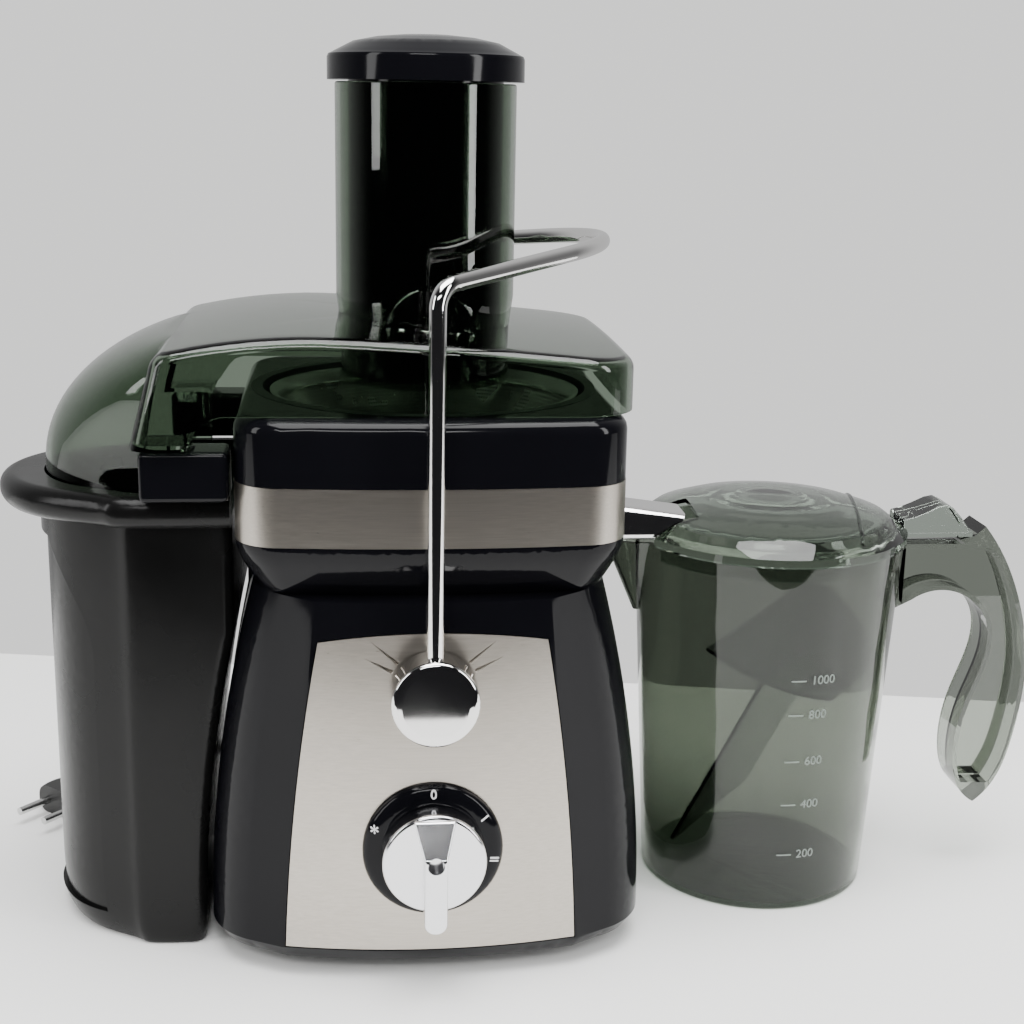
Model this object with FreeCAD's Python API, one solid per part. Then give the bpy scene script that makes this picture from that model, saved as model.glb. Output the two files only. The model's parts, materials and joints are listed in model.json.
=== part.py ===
import FreeCAD, Part
import math
import os

os.makedirs("parts", exist_ok=True)

# Every length is in millimetres and every angle in degrees. The model is built about the
# motor's vertical axis, standing on the floor, and is moved at the end so that the origin is
# under the middle of the whole machine.

# Base housing. Widths and depths are half sizes from the motor's axis.
foot_height = 5.0
foot_radius = 9.0
base_height = 167.0
base_half_width_low = 97.0
base_half_width_high = 76.0
facet_half_width_low = 78.0
facet_half_width_high = 62.0
panel_half_width_low = 65.0
panel_half_width_high = 49.0
base_front = 94.0
facet_depth = base_front - 14.0
side_depth = base_front - 44.0
bow_radius = 296.0
base_wall = 3.0
skirt_height = 9.0
skirt_bevel = 9.0
plate_thickness = 3.0
boss_radius = 6.0
screw_radius = 2.0
screw_clearance = 0.3
base_top = foot_height + base_height
skirt_top = foot_height + skirt_height
boss_x = base_half_width_low - 21.0
boss_y = facet_depth - 22.0
foot_x = base_half_width_low - 39.0
foot_y = facet_depth - 20.0

# Front plate
fascia_thickness = 1.0
fascia_below_top = 17.7
fascia_margin_low = 1.8
fascia_margin_high = 1.0
fascia_side_bow = 2.5
fascia_top_bow = 4.5
fascia_border = 0.5
fascia_low = skirt_top + 0.8
fascia_high = base_top - fascia_below_top
fascia_half_width_low = panel_half_width_low - fascia_margin_low
fascia_half_width_high = panel_half_width_high - fascia_margin_high

# Rotary switch, dial ring and knob
dial_height = foot_height + 57.6
dial_ring_radius = 30.0
dial_ring_bore = 13.0
dial_ring_proud = 4.6
knob_radius = dial_ring_radius - 8.0
knob_depth = 11.0
knob_gap = 0.6
grip_width = 9.6
grip_depth = 12.0
grip_above = knob_radius - 5.0
grip_below = knob_radius + 4.0
spindle_radius = 4.0
spindle_clearance = 0.06
switch_half_width = 15.0
switch_depth = 24.0

# Collector housing, its steel band, bowl and spout
collar_half_width = 82.0
collar_front = 92.0
collar_height = 75.0
collar_tuck = 10.0
collar_tuck_height = 22.0
collar_wall = 3.0
collar_edge = 6.0
collar_seam = 0.2
band_height = 24.8
band_thickness = 0.8
bowl_gap = 4.0
bowl_wall = 2.2
bowl_bevel = 5.5
bowl_bevel_height = 9.0
chimney_radius = 17.0
chimney_height = 18.0
spout_middle_y = 1.5
spout_width = 27.0
spout_height = 20.0
spout_tip_height = 11.5
spout_wall = 1.6
spout_reach = 42.0
spout_rise = 3.4
collar_corner_x = collar_half_width - 20.0
collar_corner_y = collar_front - 24.0
collar_top = base_top + collar_height
collar_shoulder = base_top + collar_tuck_height
band_low = collar_shoulder + 0.6
band_high = band_low + band_height
band_end = collar_front - 30.0
bowl_radius = min(collar_half_width, collar_front) - collar_wall - bowl_gap
bowl_floor = base_top + 4.2
chimney_top = base_top + chimney_height
spout_start = bowl_radius - 9.0
spout_end = collar_half_width + spout_reach
spout_low = base_top + spout_rise

# Filter basket, grater and drive
basket_gap = 3.0
basket_rim_drop = 1.5
basket_rim_height = 6.0
basket_floor_radius = 45.0
basket_mesh = 1.0
grater_thickness = 1.2
shaft_radius = 4.0
bearing_clearance = 0.04
basket_rim_radius = bowl_radius - bowl_wall - basket_gap
basket_rim_top = collar_top - basket_rim_drop
basket_floor = chimney_top + 7.0

# Pulp container
container_from_base = 11.0
container_reach = 65.0
container_depth = 58.0
container_wall = 2.5
container_drop = 37.0
container_lip_height = 14.0
container_lip_overhang = 17.0
container_lip_front = 8.5
container_gap = 2.4
container_inner_drop = 7.0
container_corner = 6.0
container_recess = 2.4
container_foot_inset = 11.0
container_foot_round = 27.0
container_centre = max(base_half_width_low, collar_half_width) + container_from_base
container_top = collar_top - container_drop
container_lip_low = container_top - container_lip_height
container_lip_reach = container_reach + container_lip_overhang
container_lip_depth = container_depth + container_lip_front
container_inner_top = container_top - container_inner_drop

# Lid, feed tube and pusher
lid_wall = 2.4
lid_overhang = 3.5
lid_inset = 10.0
lid_corner_radius = 24.0
lid_rise = 33.5
lid_seam = 0.3
lid_skirt_depth = 3.0
lid_skirt_gap = 1.0
tube_outer = 39.7
tube_wall = 2.2
tube_height = 99.3
catch_radius = 19.0
catch_thickness = 3.0
pusher_clearance = 1.4
pusher_wall = 2.4
pusher_cap_overhang = 3.3
pusher_cap_height = 11.5
pusher_dome = 8.0
lid_right = collar_half_width + lid_overhang
lid_half_depth = collar_front - lid_inset
lid_left_corner = container_centre + 8.0
lid_left = container_centre + container_reach - 5.5
lid_crown = collar_top + lid_rise
lid_right_height = lid_crown - 9.5
lid_left_height = lid_crown - 7.5
lid_over_collar = collar_top + lid_seam
lid_over_container = collar_top - 14.0
lid_step_x = collar_half_width + 10.0
lid_skirt_low = container_top - lid_skirt_depth
tube_inner = tube_outer - tube_wall
tube_neck = tube_inner - 2.1
tube_top = lid_crown + tube_height
tube_bottom = basket_rim_top + 5.0
pusher_radius = tube_neck - pusher_clearance
pusher_bottom = tube_bottom + 2.0
pusher_cap_radius = tube_outer + pusher_cap_overhang
pusher_cap_low = tube_top + 0.7
pusher_cap_edge = pusher_cap_low + pusher_cap_height
pusher_top = pusher_cap_edge + pusher_dome

# Locking bail
pivot_below_top = 38.7
wire_radius = 3.5
wire_stand_off = 9.0
knee_rise = 22.0
nose_x = tube_outer + 68.1
nose_rise = 15.1
knee_bend = 10.0
nose_bend = 64.0
cap_radius = 18.5
cap_cover = 8.1
cap_gap = 0.7
pin_radius = 5.0
pin_clearance = 0.06
bush_wall = 2.0
socket_depth = 8.0
pivot_height = base_top - pivot_below_top
bail_reach = max(base_front, collar_front) + wire_stand_off
cap_depth = bail_reach - base_front - cap_gap + cap_cover
knee_height = lid_crown + knee_rise

# Motor and its brackets
mount_spacing = 38.0
mount_radius = 8.0
mount_low = 36.0
mount_height = 8.0
bracket_half_length = 48.0
bracket_half_width = 16.0
bracket_hub = 20.0
bracket_thickness = 4.0
strut_reach = 46.0
strut_width = 16.0
leg_inner = 37.0
leg_outer = 43.0
leg_half_width = 7.0
stator_low = 64.0
stator_height = 40.0
stator_outer = 46.0
stator_inner = 27.5
coil_outer = 36.0
coil_inner = 29.0
coil_height = 12.0
coil_half_width = 25.0
coil_split = 2.0
bearing_radius = 8.0
armature_radius = 27.0
armature_slots = 12
slot_depth = 6.0
slot_width = 2.4
commutator_radius = 12.0
commutator_length = 18.0
fan_hub = 9.0
fan_radius = 33.0
fan_blades = 8
fan_low = 50.0
fan_height = 10.0
blade_thickness = 1.6
brush_width = 6.0
brush_height = 8.0
brush_length = 13.7
holder_inner = 15.0
holder_outer = 30.0
holder_wall = 2.0
bracket_low = mount_low + mount_height
stator_high = stator_low + stator_height
commutator_low = stator_high + 2.0
brush_middle = commutator_low + 10.0
top_bracket_low = base_top - 40.0
shaft_low = bracket_low - 6.0
shaft_high = basket_floor + 8.0

# Juice jug, its lid and the froth separator
jug_y = 12.0
jug_rim_radius = 64.4
jug_foot_radius = 54.7
jug_under_spout = 2.8
jug_from_collar = 3.8
collar_past_base = 6.0
jug_wall = 2.2
jug_floor = 3.0
lip_radius = 18.5
lip_root = 2.0
lip_depth = 37.6
handle_width = 22.0
handle_wall = 2.2
handle_shift = 2.0
jug_lid_gap = 0.4
jug_lid_edge = 4.0
jug_lid_dome = 19.1
notch_clearance = 1.2
tab_reach = 33.2
tab_thickness = 3.0
hump_radius = 7.5
separator_thickness = 2.0
separator_clearance = 1.6
jug_height = spout_low - jug_under_spout
jug_slope = (jug_rim_radius - jug_foot_radius) / jug_height
lip_low = jug_height - lip_depth
jug_wall_at_lip = jug_rim_radius - 1.3
machine_side = max(collar_half_width, base_half_width_high + collar_past_base)
jug_x = machine_side + jug_from_collar + lip_radius + jug_wall_at_lip

# Mains lead
cord_radius = 3.2
cord_exit_x = 62.0
cord_exit_y = 122.0
cord_exit_z = 17.0
relief_length = 32.0
coil_x = -14.0
coil_y = 141.0
coil_outer_turn = 38.6
coil_inner_turn = 32.2
plug_pin_radius = 2.0
plug_pin_spacing = 19.0
plug_pin_length = 19.0
plug_width = 34.0
plug_length = 38.0
plug_thickness = 15.0

shapes = {}
cord_names = ["mains_lead", "lead_coil", "lead_tail", "plug_body", "plug_pins", "strain_relief"]


def point(x, y, z):
    return FreeCAD.Vector(x, y, z)


def box(low, high):
    size = high - low
    return Part.makeBox(size.x, size.y, size.z, low)


def post(radius, low, high, x=0.0, y=0.0):
    return Part.makeCylinder(radius, high - low, point(x, y, low))


def pipe(outer, inner, low, high, x=0.0, y=0.0):
    return post(outer, low, high, x, y).cut(post(inner, low - 1.0, high + 1.0, x, y))


def rod_y(radius, front, back, x, z):
    return Part.makeCylinder(radius, back - front, point(x, front, z), point(0, 1, 0))


def segments(points, closed=True):
    ends = points[1:] + points[:1] if closed else points[1:]
    return [Part.LineSegment(a, b).toShape() for a, b in zip(points, ends)]


def polygon(points):
    return Part.Face(Part.Wire(segments(points)))


def turned(profile, x=0.0, y=0.0):
    """Turns a closed outline of (radius, height) pairs about a vertical line."""
    face = polygon([point(radius, 0, height) for radius, height in profile])
    solid = face.revolve(point(0, 0, 0), point(0, 0, 1), 360)
    solid.translate(point(x, y, 0))
    return solid


def turned_y(profile, height):
    """Turns a closed outline of (radius, y) pairs about a front-to-back line."""
    face = polygon([point(radius, y, 0) for radius, y in profile])
    solid = face.revolve(point(0, 0, 0), point(0, 1, 0), 360)
    solid.translate(point(0, 0, height))
    return solid


def rounded(points, radii):
    """Joins straight runs through the points with tangent arcs of the given radii."""
    edges = []
    start = points[0]
    for before, corner, after, radius in zip(points, points[1:], points[2:], radii):
        back = (before - corner).normalize()
        on = (after - corner).normalize()
        half = back.getAngle(on) / 2.0
        tangent = radius / math.tan(half)
        inside = (back + on).normalize() * (radius / math.sin(half) - radius)
        arc_start = corner + back * tangent
        arc_end = corner + on * tangent
        if (arc_start - start).Length > 1e-6:
            edges.append(Part.LineSegment(start, arc_start).toShape())
        edges.append(Part.Arc(arc_start, corner + inside, arc_end).toShape())
        start = arc_end
    if (points[-1] - start).Length > 1e-6:
        edges.append(Part.LineSegment(start, points[-1]).toShape())
    return Part.Wire(edges)


def swept(path, radius):
    """Sweeps a round section along a path of lines and tangent arcs."""
    first = path.OrderedEdges[0]
    start = first.valueAt(first.FirstParameter)
    heading = first.tangentAt(first.FirstParameter)
    section = Part.Wire(Part.makeCircle(radius, start, heading))
    return path.makePipeShell([section], True, True)


def loft(wires, ruled=False):
    return Part.makeLoft(wires, True, ruled)


def bow_line(half_width, apex):
    """Distance in front of the axis of the bowed front surface at a half width."""
    return apex - bow_radius + math.sqrt(bow_radius ** 2 - half_width ** 2)


def mirrored_outline(quarter):
    """Builds a closed plan outline from its front right quarter, symmetric in x and y.

    Each entry is a tuple of two or three points from the front middle round to the side:
    two points make a line and three make an arc."""
    def flip(entry, sx, sy):
        return [point(p.x * sx, p.y * sy, p.z) for p in entry]

    edges = []
    right_front = [list(entry) for entry in quarter]
    right_back = [flip(entry, 1, -1)[::-1] for entry in reversed(quarter)]
    left_back = [flip(entry, -1, -1) for entry in quarter]
    left_front = [flip(entry, -1, 1)[::-1] for entry in reversed(quarter)]
    for entry in right_front + right_back + left_back + left_front:
        if len(entry) == 2:
            edges.append(Part.LineSegment(*entry).toShape())
        else:
            edges.append(Part.Arc(*entry).toShape())
    return Part.Wire(edges)


# ---- base housing -------------------------------------------------------------------------

def base_share(height):
    return (height - skirt_top) / (base_top - skirt_top)


def base_half_width(height):
    fall = base_half_width_low - base_half_width_high
    return base_half_width_low - fall * base_share(height) ** 2


def corner_bulge(side, start, wide, deep, height):
    """Middle of a corner arc that leaves the side wall tangent to it."""
    radius = (wide ** 2 + deep ** 2) / (2.0 * wide)
    half_turn = math.asin(min(deep / radius, 1.0)) / 2.0
    return point(side - radius + radius * math.cos(half_turn), start - radius * math.sin(half_turn), height)


def base_outline(height, inset=0.0):
    share = max(base_share(height), 0.0)
    side = base_half_width_low - (base_half_width_low - base_half_width_high) * share ** 2
    facet = facet_half_width_low - (facet_half_width_low - facet_half_width_high) * share ** 1.5
    panel = panel_half_width_low - (panel_half_width_low - panel_half_width_high) * share
    side -= inset
    facet -= 0.7 * inset
    panel -= 0.5 * inset
    front = -bow_line(panel, base_front) + inset
    middle = -base_front + inset
    depth = -facet_depth + inset
    wide = side - facet
    rise = -side_depth - depth
    bulge = corner_bulge(side, -side_depth, wide, rise, height)
    quarter_bow = point(panel / 2.0, -bow_line(panel / 2.0, base_front) + inset, height)
    return mirrored_outline([
        (point(0, middle, height), quarter_bow, point(panel, front, height)),
        (point(panel, front, height), point(facet, depth, height)),
        (point(facet, depth, height), bulge, point(side, -side_depth, height)),
        (point(side, -side_depth, height), point(side, 0, height)),
    ])


def base_levels(low, high, count=6):
    return [low + (high - low) * step / (count - 1) for step in range(count)]


def base_solid(low, high, inset=0.0):
    return loft([base_outline(height, inset) for height in base_levels(low, high)])


def fascia_outline(grow, depth):
    low = fascia_low - grow
    high = fascia_high + grow
    wide_low = fascia_half_width_low + grow
    wide_high = fascia_half_width_high + grow
    middle = (low + high) / 2.0
    bulge = (wide_low + wide_high) / 2.0 + fascia_side_bow
    corners = [point(-wide_low, depth, low), point(wide_low, depth, low),
               point(wide_high, depth, high), point(-wide_high, depth, high)]
    edges = [
        Part.LineSegment(corners[0], corners[1]).toShape(),
        Part.Arc(corners[1], point(bulge, depth, middle), corners[2]).toShape(),
        Part.Arc(corners[2], point(0, depth, high + fascia_top_bow), corners[3]).toShape(),
        Part.Arc(corners[3], point(-bulge, depth, middle), corners[0]).toShape(),
    ]
    return Part.Face(Part.Wire(edges))


def fascia_solid(grow, proud, thickness):
    front = pipe(bow_radius + proud, bow_radius + proud - thickness, 0.0, base_top,
                 0.0, bow_radius - base_front)
    prism = fascia_outline(grow, -base_front - 10.0).extrude(point(0, 40, 0))
    return front.common(prism)


def pivot_hole(radius):
    return rod_y(radius, -base_front - 5.0, base_front + 5.0, 0.0, pivot_height)


def make_housing():
    skirt = loft([base_outline(foot_height, skirt_bevel), base_outline(foot_height + 3.0, 4.0),
                  base_outline(skirt_top)], True)
    body = skirt.fuse(base_solid(skirt_top, base_top)).removeSplitter()
    cavity = base_solid(skirt_top, base_top - base_wall, base_wall)
    mouth = Part.Face(base_outline(skirt_top, skirt_bevel + base_wall))
    mouth.translate(point(0, 0, foot_height - 1.0 - skirt_top))
    mouth = mouth.extrude(point(0, 0, skirt_top - foot_height + 1.5))
    shell = body.cut(cavity).cut(mouth)
    shell = shell.cut(fascia_solid(fascia_border, 1.0, 1.0 + fascia_thickness + 0.05))
    core = base_solid(skirt_top, base_top, base_wall / 2.0)
    for sx in (-1, 1):
        for sy in (-1, 1):
            boss = post(boss_radius, foot_height + plate_thickness, 50.0, sx * boss_x, sy * boss_y)
            shell = shell.fuse(boss)
            reach = sorted([sx * (boss_x + 4.0), sx * base_half_width_low])
            rib = box(point(reach[0], sy * boss_y - 1.5, skirt_top + 1.0),
                      point(reach[1], sy * boss_y + 1.5, 48.0))
            shell = shell.fuse(rib.common(core))
            pilot = post(screw_radius - screw_clearance, 0.0, foot_height + 19.0, sx * boss_x, sy * boss_y)
            shell = shell.cut(pilot)
    for sy in (-1, 1):
        near = sorted([sy * (base_front - 2.4), sy * (base_front - 16.0)])
        boss = rod_y(pin_radius + bush_wall + 3.0, near[0], near[1], 0.0, pivot_height)
        shell = shell.fuse(boss)
    shell = shell.cut(pivot_hole(pin_radius + bush_wall))
    shell = shell.cut(rod_y(spindle_radius + 3.0, -base_front - 5.0, -base_front + 8.0, 0, dial_height))
    shell = shell.cut(post(shaft_radius + 8.0, base_top - base_wall - 1.0, base_top + 1.0))
    shell = shell.cut(rod_y(cord_radius + 1.8, base_front - 30.0, base_front + 5.0, cord_exit_x, cord_exit_z))
    for row in range(4):
        slot = box(point(-34, base_front - 9.0, 40.0 + 9.0 * row),
                   point(34, base_front + 3.0, 43.5 + 9.0 * row))
        shell = shell.cut(slot)
    return shell


def make_bottom_plate():
    outline = Part.Face(base_outline(skirt_top, skirt_bevel + base_wall + 0.3))
    outline.translate(point(0, 0, foot_height - skirt_top))
    plate = outline.extrude(point(0, 0, plate_thickness))
    for sx in (-1, 1):
        for sy in (-1, 1):
            hole = post(screw_radius + screw_clearance, 0.0, foot_height + 7.0, sx * boss_x, sy * boss_y)
            plate = plate.cut(hole)
            plate = plate.fuse(post(5.0, foot_height, mount_low, sx * mount_spacing, sy * mount_spacing))
    for step in range(7):
        x = -36.0 + 12.0 * step
        plate = plate.cut(box(point(x - 2.0, -26, 0), point(x + 2.0, 26, 12)))
    return plate


def group(solids):
    return Part.Compound(solids)


def corners(x, y):
    return [(sx * x, sy * y) for sx in (-1, 1) for sy in (-1, 1)]


shapes["base_housing"] = make_housing()
shapes["bottom_plate"] = make_bottom_plate()
shapes["rubber_feet"] = group([
    turned([(0, 0), (foot_radius - 1.0, 0), (foot_radius, 1.0), (foot_radius, foot_height),
            (0, foot_height)], x, y) for x, y in corners(foot_x, foot_y)])
shapes["base_screws"] = group([
    turned([(0, foot_height - 2.0), (3.6, foot_height - 2.0), (3.6, foot_height),
            (screw_radius - screw_clearance, foot_height),
            (screw_radius - screw_clearance, foot_height + 17.0), (0, foot_height + 17.0)], x, y)
    for x, y in corners(boss_x, boss_y)])
fascia = fascia_solid(0.0, 0.05, fascia_thickness)
fascia = fascia.cut(rod_y(pin_radius + 1.0, -base_front - 5, -base_front + 8, 0, pivot_height))
shapes["front_fascia"] = fascia.cut(
    rod_y(spindle_radius + 3.0, -base_front - 5, -base_front + 8, 0, dial_height))

# ---- motor --------------------------------------------------------------------------------

def block_x(side, near, far, half_width, low, high):
    """A block on one side of the motor's axis, between two distances from it."""
    start, end = sorted([side * near, side * far])
    return box(point(start, -half_width, low), point(end, half_width, high))


def bracket(low, leg_low, leg_high):
    high = low + bracket_thickness
    plate = box(point(-bracket_half_length, -bracket_half_width, low),
                point(bracket_half_length, bracket_half_width, high))
    plate = plate.fuse(post(bracket_hub, low, high))
    for side in (-1, 1):
        plate = plate.fuse(block_x(side, leg_inner, leg_outer, leg_half_width, leg_low, leg_high))
    return plate.cut(post(bearing_radius, low - 1, high + 5))


shapes["motor_mounts"] = group([
    post(mount_radius, mount_low, bracket_low, x, y) for x, y in corners(mount_spacing, mount_spacing)])
lower = bracket(bracket_low, bracket_low, stator_low)
for side in (-1, 1):
    lower = lower.fuse(block_x(side, strut_reach - strut_width, strut_reach, strut_reach, bracket_low,
                               bracket_low + bracket_thickness))
shapes["lower_bracket"] = lower
shapes["upper_bracket"] = bracket(top_bracket_low, stator_high, top_bracket_low)
shapes["stator_core"] = pipe(stator_outer, stator_inner, stator_low, stator_high)
coils = []
for side in (-1, 1):
    ring = pipe(coil_outer, coil_inner, stator_high, stator_high + coil_height)
    near, far = sorted([side * coil_split, side * (coil_outer + 4.0)])
    coils.append(ring.common(box(point(-coil_half_width, near, stator_high - 1),
                                 point(coil_half_width, far, stator_high + coil_height + 1))))
shapes["field_coils"] = group(coils)
shapes["shaft_bearings"] = group([
    pipe(bearing_radius, shaft_radius + bearing_clearance, low, low + bracket_thickness)
    for low in (bracket_low, top_bracket_low)])
shapes["motor_shaft"] = post(shaft_radius, shaft_low, shaft_high)
armature = pipe(armature_radius, shaft_radius, stator_low, stator_high)
for step in range(armature_slots):
    slot = block_x(1, armature_radius - slot_depth, armature_radius + 2, slot_width / 2.0,
                   stator_low - 1, stator_high + 1)
    slot.rotate(point(0, 0, 0), point(0, 0, 1), 360.0 / armature_slots * step)
    armature = armature.cut(slot)
shapes["armature_core"] = armature
shapes["commutator"] = pipe(commutator_radius, shaft_radius, commutator_low,
                            commutator_low + commutator_length)
fan = pipe(fan_hub, shaft_radius, fan_low, fan_low + fan_height)
for step in range(fan_blades):
    blade = block_x(1, fan_hub - 2.0, fan_radius, blade_thickness / 2.0, fan_low + 0.5,
                    fan_low + fan_height - 0.5)
    blade.rotate(point(0, 0, 0), point(0, 0, 1), 360.0 / fan_blades * step)
    fan = fan.fuse(blade)
shapes["cooling_fan"] = fan.cut(post(shaft_radius, fan_low - 1, fan_low + fan_height + 1))
holders = []
brushes = []
half_width = brush_width / 2.0
brush_low = brush_middle - brush_height / 2.0
brush_high = brush_middle + brush_height / 2.0
brush_inner = commutator_radius + 0.3
for side in (-1, 1):
    holder = block_x(side, holder_inner, holder_outer, half_width + holder_wall,
                     brush_low - holder_wall, brush_high + holder_wall)
    slot = block_x(side, holder_inner - 1, holder_outer + 1, half_width, brush_low, brush_high)
    holders.append(holder.cut(slot))
    brushes.append(block_x(side, brush_inner, brush_inner + brush_length, half_width, brush_low, brush_high))
shapes["brush_holders"] = group(holders)
shapes["carbon_brushes"] = group(brushes)

# ---- switch, ring and knob ----------------------------------------------------------------

switch_front = -base_front + base_wall + fascia_thickness + 1.0
shapes["rotary_switch"] = box(
    point(-switch_half_width, switch_front, dial_height - switch_half_width),
    point(switch_half_width, switch_front + switch_depth, dial_height + switch_half_width)
).cut(rod_y(spindle_radius + spindle_clearance, switch_front - 1, switch_front + 19, 0, dial_height))
ring_front = -base_front - dial_ring_proud
ring = turned_y([
    (dial_ring_bore, -base_front + 6), (dial_ring_radius, -base_front + 6),
    (dial_ring_radius, ring_front + 3.4), (dial_ring_radius - 0.9, ring_front + 2.0),
    (dial_ring_radius - 2.6, ring_front + 0.9), (dial_ring_radius - 5.2, ring_front + 0.2),
    (knob_radius, ring_front), (dial_ring_bore, ring_front)], dial_height)
shapes["dial_ring"] = ring.cut(post(bow_radius + 0.06, 0, base_top, 0, bow_radius - base_front))

knob_back = ring_front - knob_gap
knob_front = knob_back - knob_depth
knob = turned_y([
    (0, knob_back), (knob_radius, knob_back), (knob_radius, knob_front + 2.0),
    (knob_radius - 0.6, knob_front + 0.6), (knob_radius - 2.0, knob_front), (0, knob_front)],
    dial_height)
grip = box(point(-grip_width / 2, knob_front - grip_depth, dial_height - grip_below),
           point(grip_width / 2, knob_front + 2.0, dial_height + grip_above))
grip = grip.makeFillet(3.0, [edge for edge in grip.Edges
                             if edge.CenterOfMass.y < knob_front + 1.0 and edge.Length > 10.5
                             or abs(edge.CenterOfMass.y - (knob_front - grip_depth)) < 0.1])
knob = knob.fuse(grip)
knob = knob.cut(rod_y(spindle_radius, knob_back - 8.0, knob_back + 1.0, 0, dial_height))
shapes["control_knob"] = knob
shapes["knob_spindle"] = rod_y(spindle_radius, knob_back - 8.0, switch_front + 18.0, 0, dial_height)

# ---- locking bail -------------------------------------------------------------------------

bail_points = [point(0, -bail_reach, pivot_height + socket_depth), point(0, -bail_reach, knee_height),
               point(nose_x, 0, knee_height + nose_rise), point(0, bail_reach, knee_height),
               point(0, bail_reach, pivot_height + socket_depth)]
bail_path = rounded(bail_points, [knee_bend, nose_bend, knee_bend])
bail_wire = swept(bail_path, wire_radius)
cap_back = base_front + cap_gap
cap_front = cap_back + cap_depth
cap_profile = [
    (0, -cap_back), (cap_radius, -cap_back), (cap_radius, -cap_front + 2.2),
    (cap_radius - 0.4, -cap_front + 1.1), (cap_radius - 1.6, -cap_front + 0.3),
    (cap_radius - 4.5, -cap_front), (0, -cap_front)]
front_cap = turned_y(cap_profile, pivot_height)
rear_cap = turned_y([(radius, -y) for radius, y in cap_profile], pivot_height)
socket_top = pivot_height + cap_radius + 4
wire_socket = [post(wire_radius, pivot_height + socket_depth, socket_top, 0, sy * bail_reach)
               for sy in (-1, 1)]
pin_end = base_front - 20.0
pins = []
for sy, cap_name, cap in ((-1, "front_pivot_cap", front_cap), (1, "rear_pivot_cap", rear_cap)):
    socket = wire_socket[0] if sy < 0 else wire_socket[1]
    reach = sorted([sy * pin_end, sy * (cap_back + 6.0)])
    pin = rod_y(pin_radius, reach[0], reach[1], 0, pivot_height)
    shapes[cap_name] = cap.cut(socket).cut(pin)
    pins.append(pin)
shapes["bail_wire"] = bail_wire

# The rear pin carries a spiral cam that works the interlock plunger as the bail turns.
cam_base = 8.5
cam_fall = 1.5
cam_turn = 45.0
cam_gap = 0.35
cam_y = pin_end - 5.0
cam_points = []
for step in range(-4, 33):
    turn = 2.5 * step
    radius = cam_base - cam_fall * turn / cam_turn
    angle = math.radians(-90.0 - turn)
    cam_points.append(point(-radius * math.cos(angle), cam_y, pivot_height + radius * math.sin(angle)))
cam_points.append(point(0, cam_y, pivot_height + 4.5))
cam = polygon(cam_points).extrude(point(0, 5.0, 0))
cam = cam.fuse(rod_y(pin_radius, cam_y, pin_end + 1.0, 0, pivot_height))
pins[1] = pins[1].fuse(cam).removeSplitter()
shapes["pivot_pins"] = group(pins)
bushes = []
for sy in (-1, 1):
    reach = sorted([sy * (base_front - 16.0), sy * (base_front - 1.2)])
    bush = rod_y(pin_radius + bush_wall, reach[0], reach[1], 0, pivot_height)
    bushes.append(bush.cut(pivot_hole(pin_radius + pin_clearance)))
shapes["pivot_bushes"] = group(bushes)
plunger_top = pivot_height - cam_base - cam_gap
plunger_y = cam_y + 2.5
plunger = post(2.4, pivot_height - 29.3, plunger_top - 2.4, 0, plunger_y)
tip = Part.makeSphere(2.4, point(0, plunger_y, plunger_top - 2.4))
shapes["interlock_plunger"] = plunger.fuse(tip).removeSplitter()
switch_low = pivot_height - 45.3
switch = box(point(-12, plunger_y - 6, switch_low), point(12, plunger_y + 6, switch_low + 26.0))
switch = switch.fuse(box(point(-5, plunger_y + 5, switch_low + 4.0),
                         point(5, base_front - 6.0, switch_low + 22.0)))
switch = switch.common(base_solid(skirt_top, base_top - base_wall, base_wall))
shapes["interlock_switch"] = switch.cut(
    post(2.4 + spindle_clearance, switch_low + 12.0, switch_low + 30.0, 0, plunger_y))

# ---- collector ----------------------------------------------------------------------------

def collar_outline(height, inset=0.0):
    corner_x = collar_corner_x - 0.4 * inset
    corner_y = collar_corner_y - 0.4 * inset
    side = collar_half_width - inset
    middle = collar_front - inset
    front = middle - 3.4
    bow_middle = point(corner_x / 2.0, -(middle - 0.85), height)
    wide = side - corner_x
    deep = front - corner_y
    bulge = corner_bulge(side, -corner_y, wide, deep, height)
    return mirrored_outline([
        (point(0, -middle, height), bow_middle, point(corner_x, -front, height)),
        (point(corner_x, -front, height), bulge, point(side, -corner_y, height)),
        (point(side, -corner_y, height), point(side, 0, height)),
    ])


def collar_prism(low, high, inset=0.0):
    return Part.Face(collar_outline(low, inset)).extrude(point(0, 0, high - low))


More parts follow.
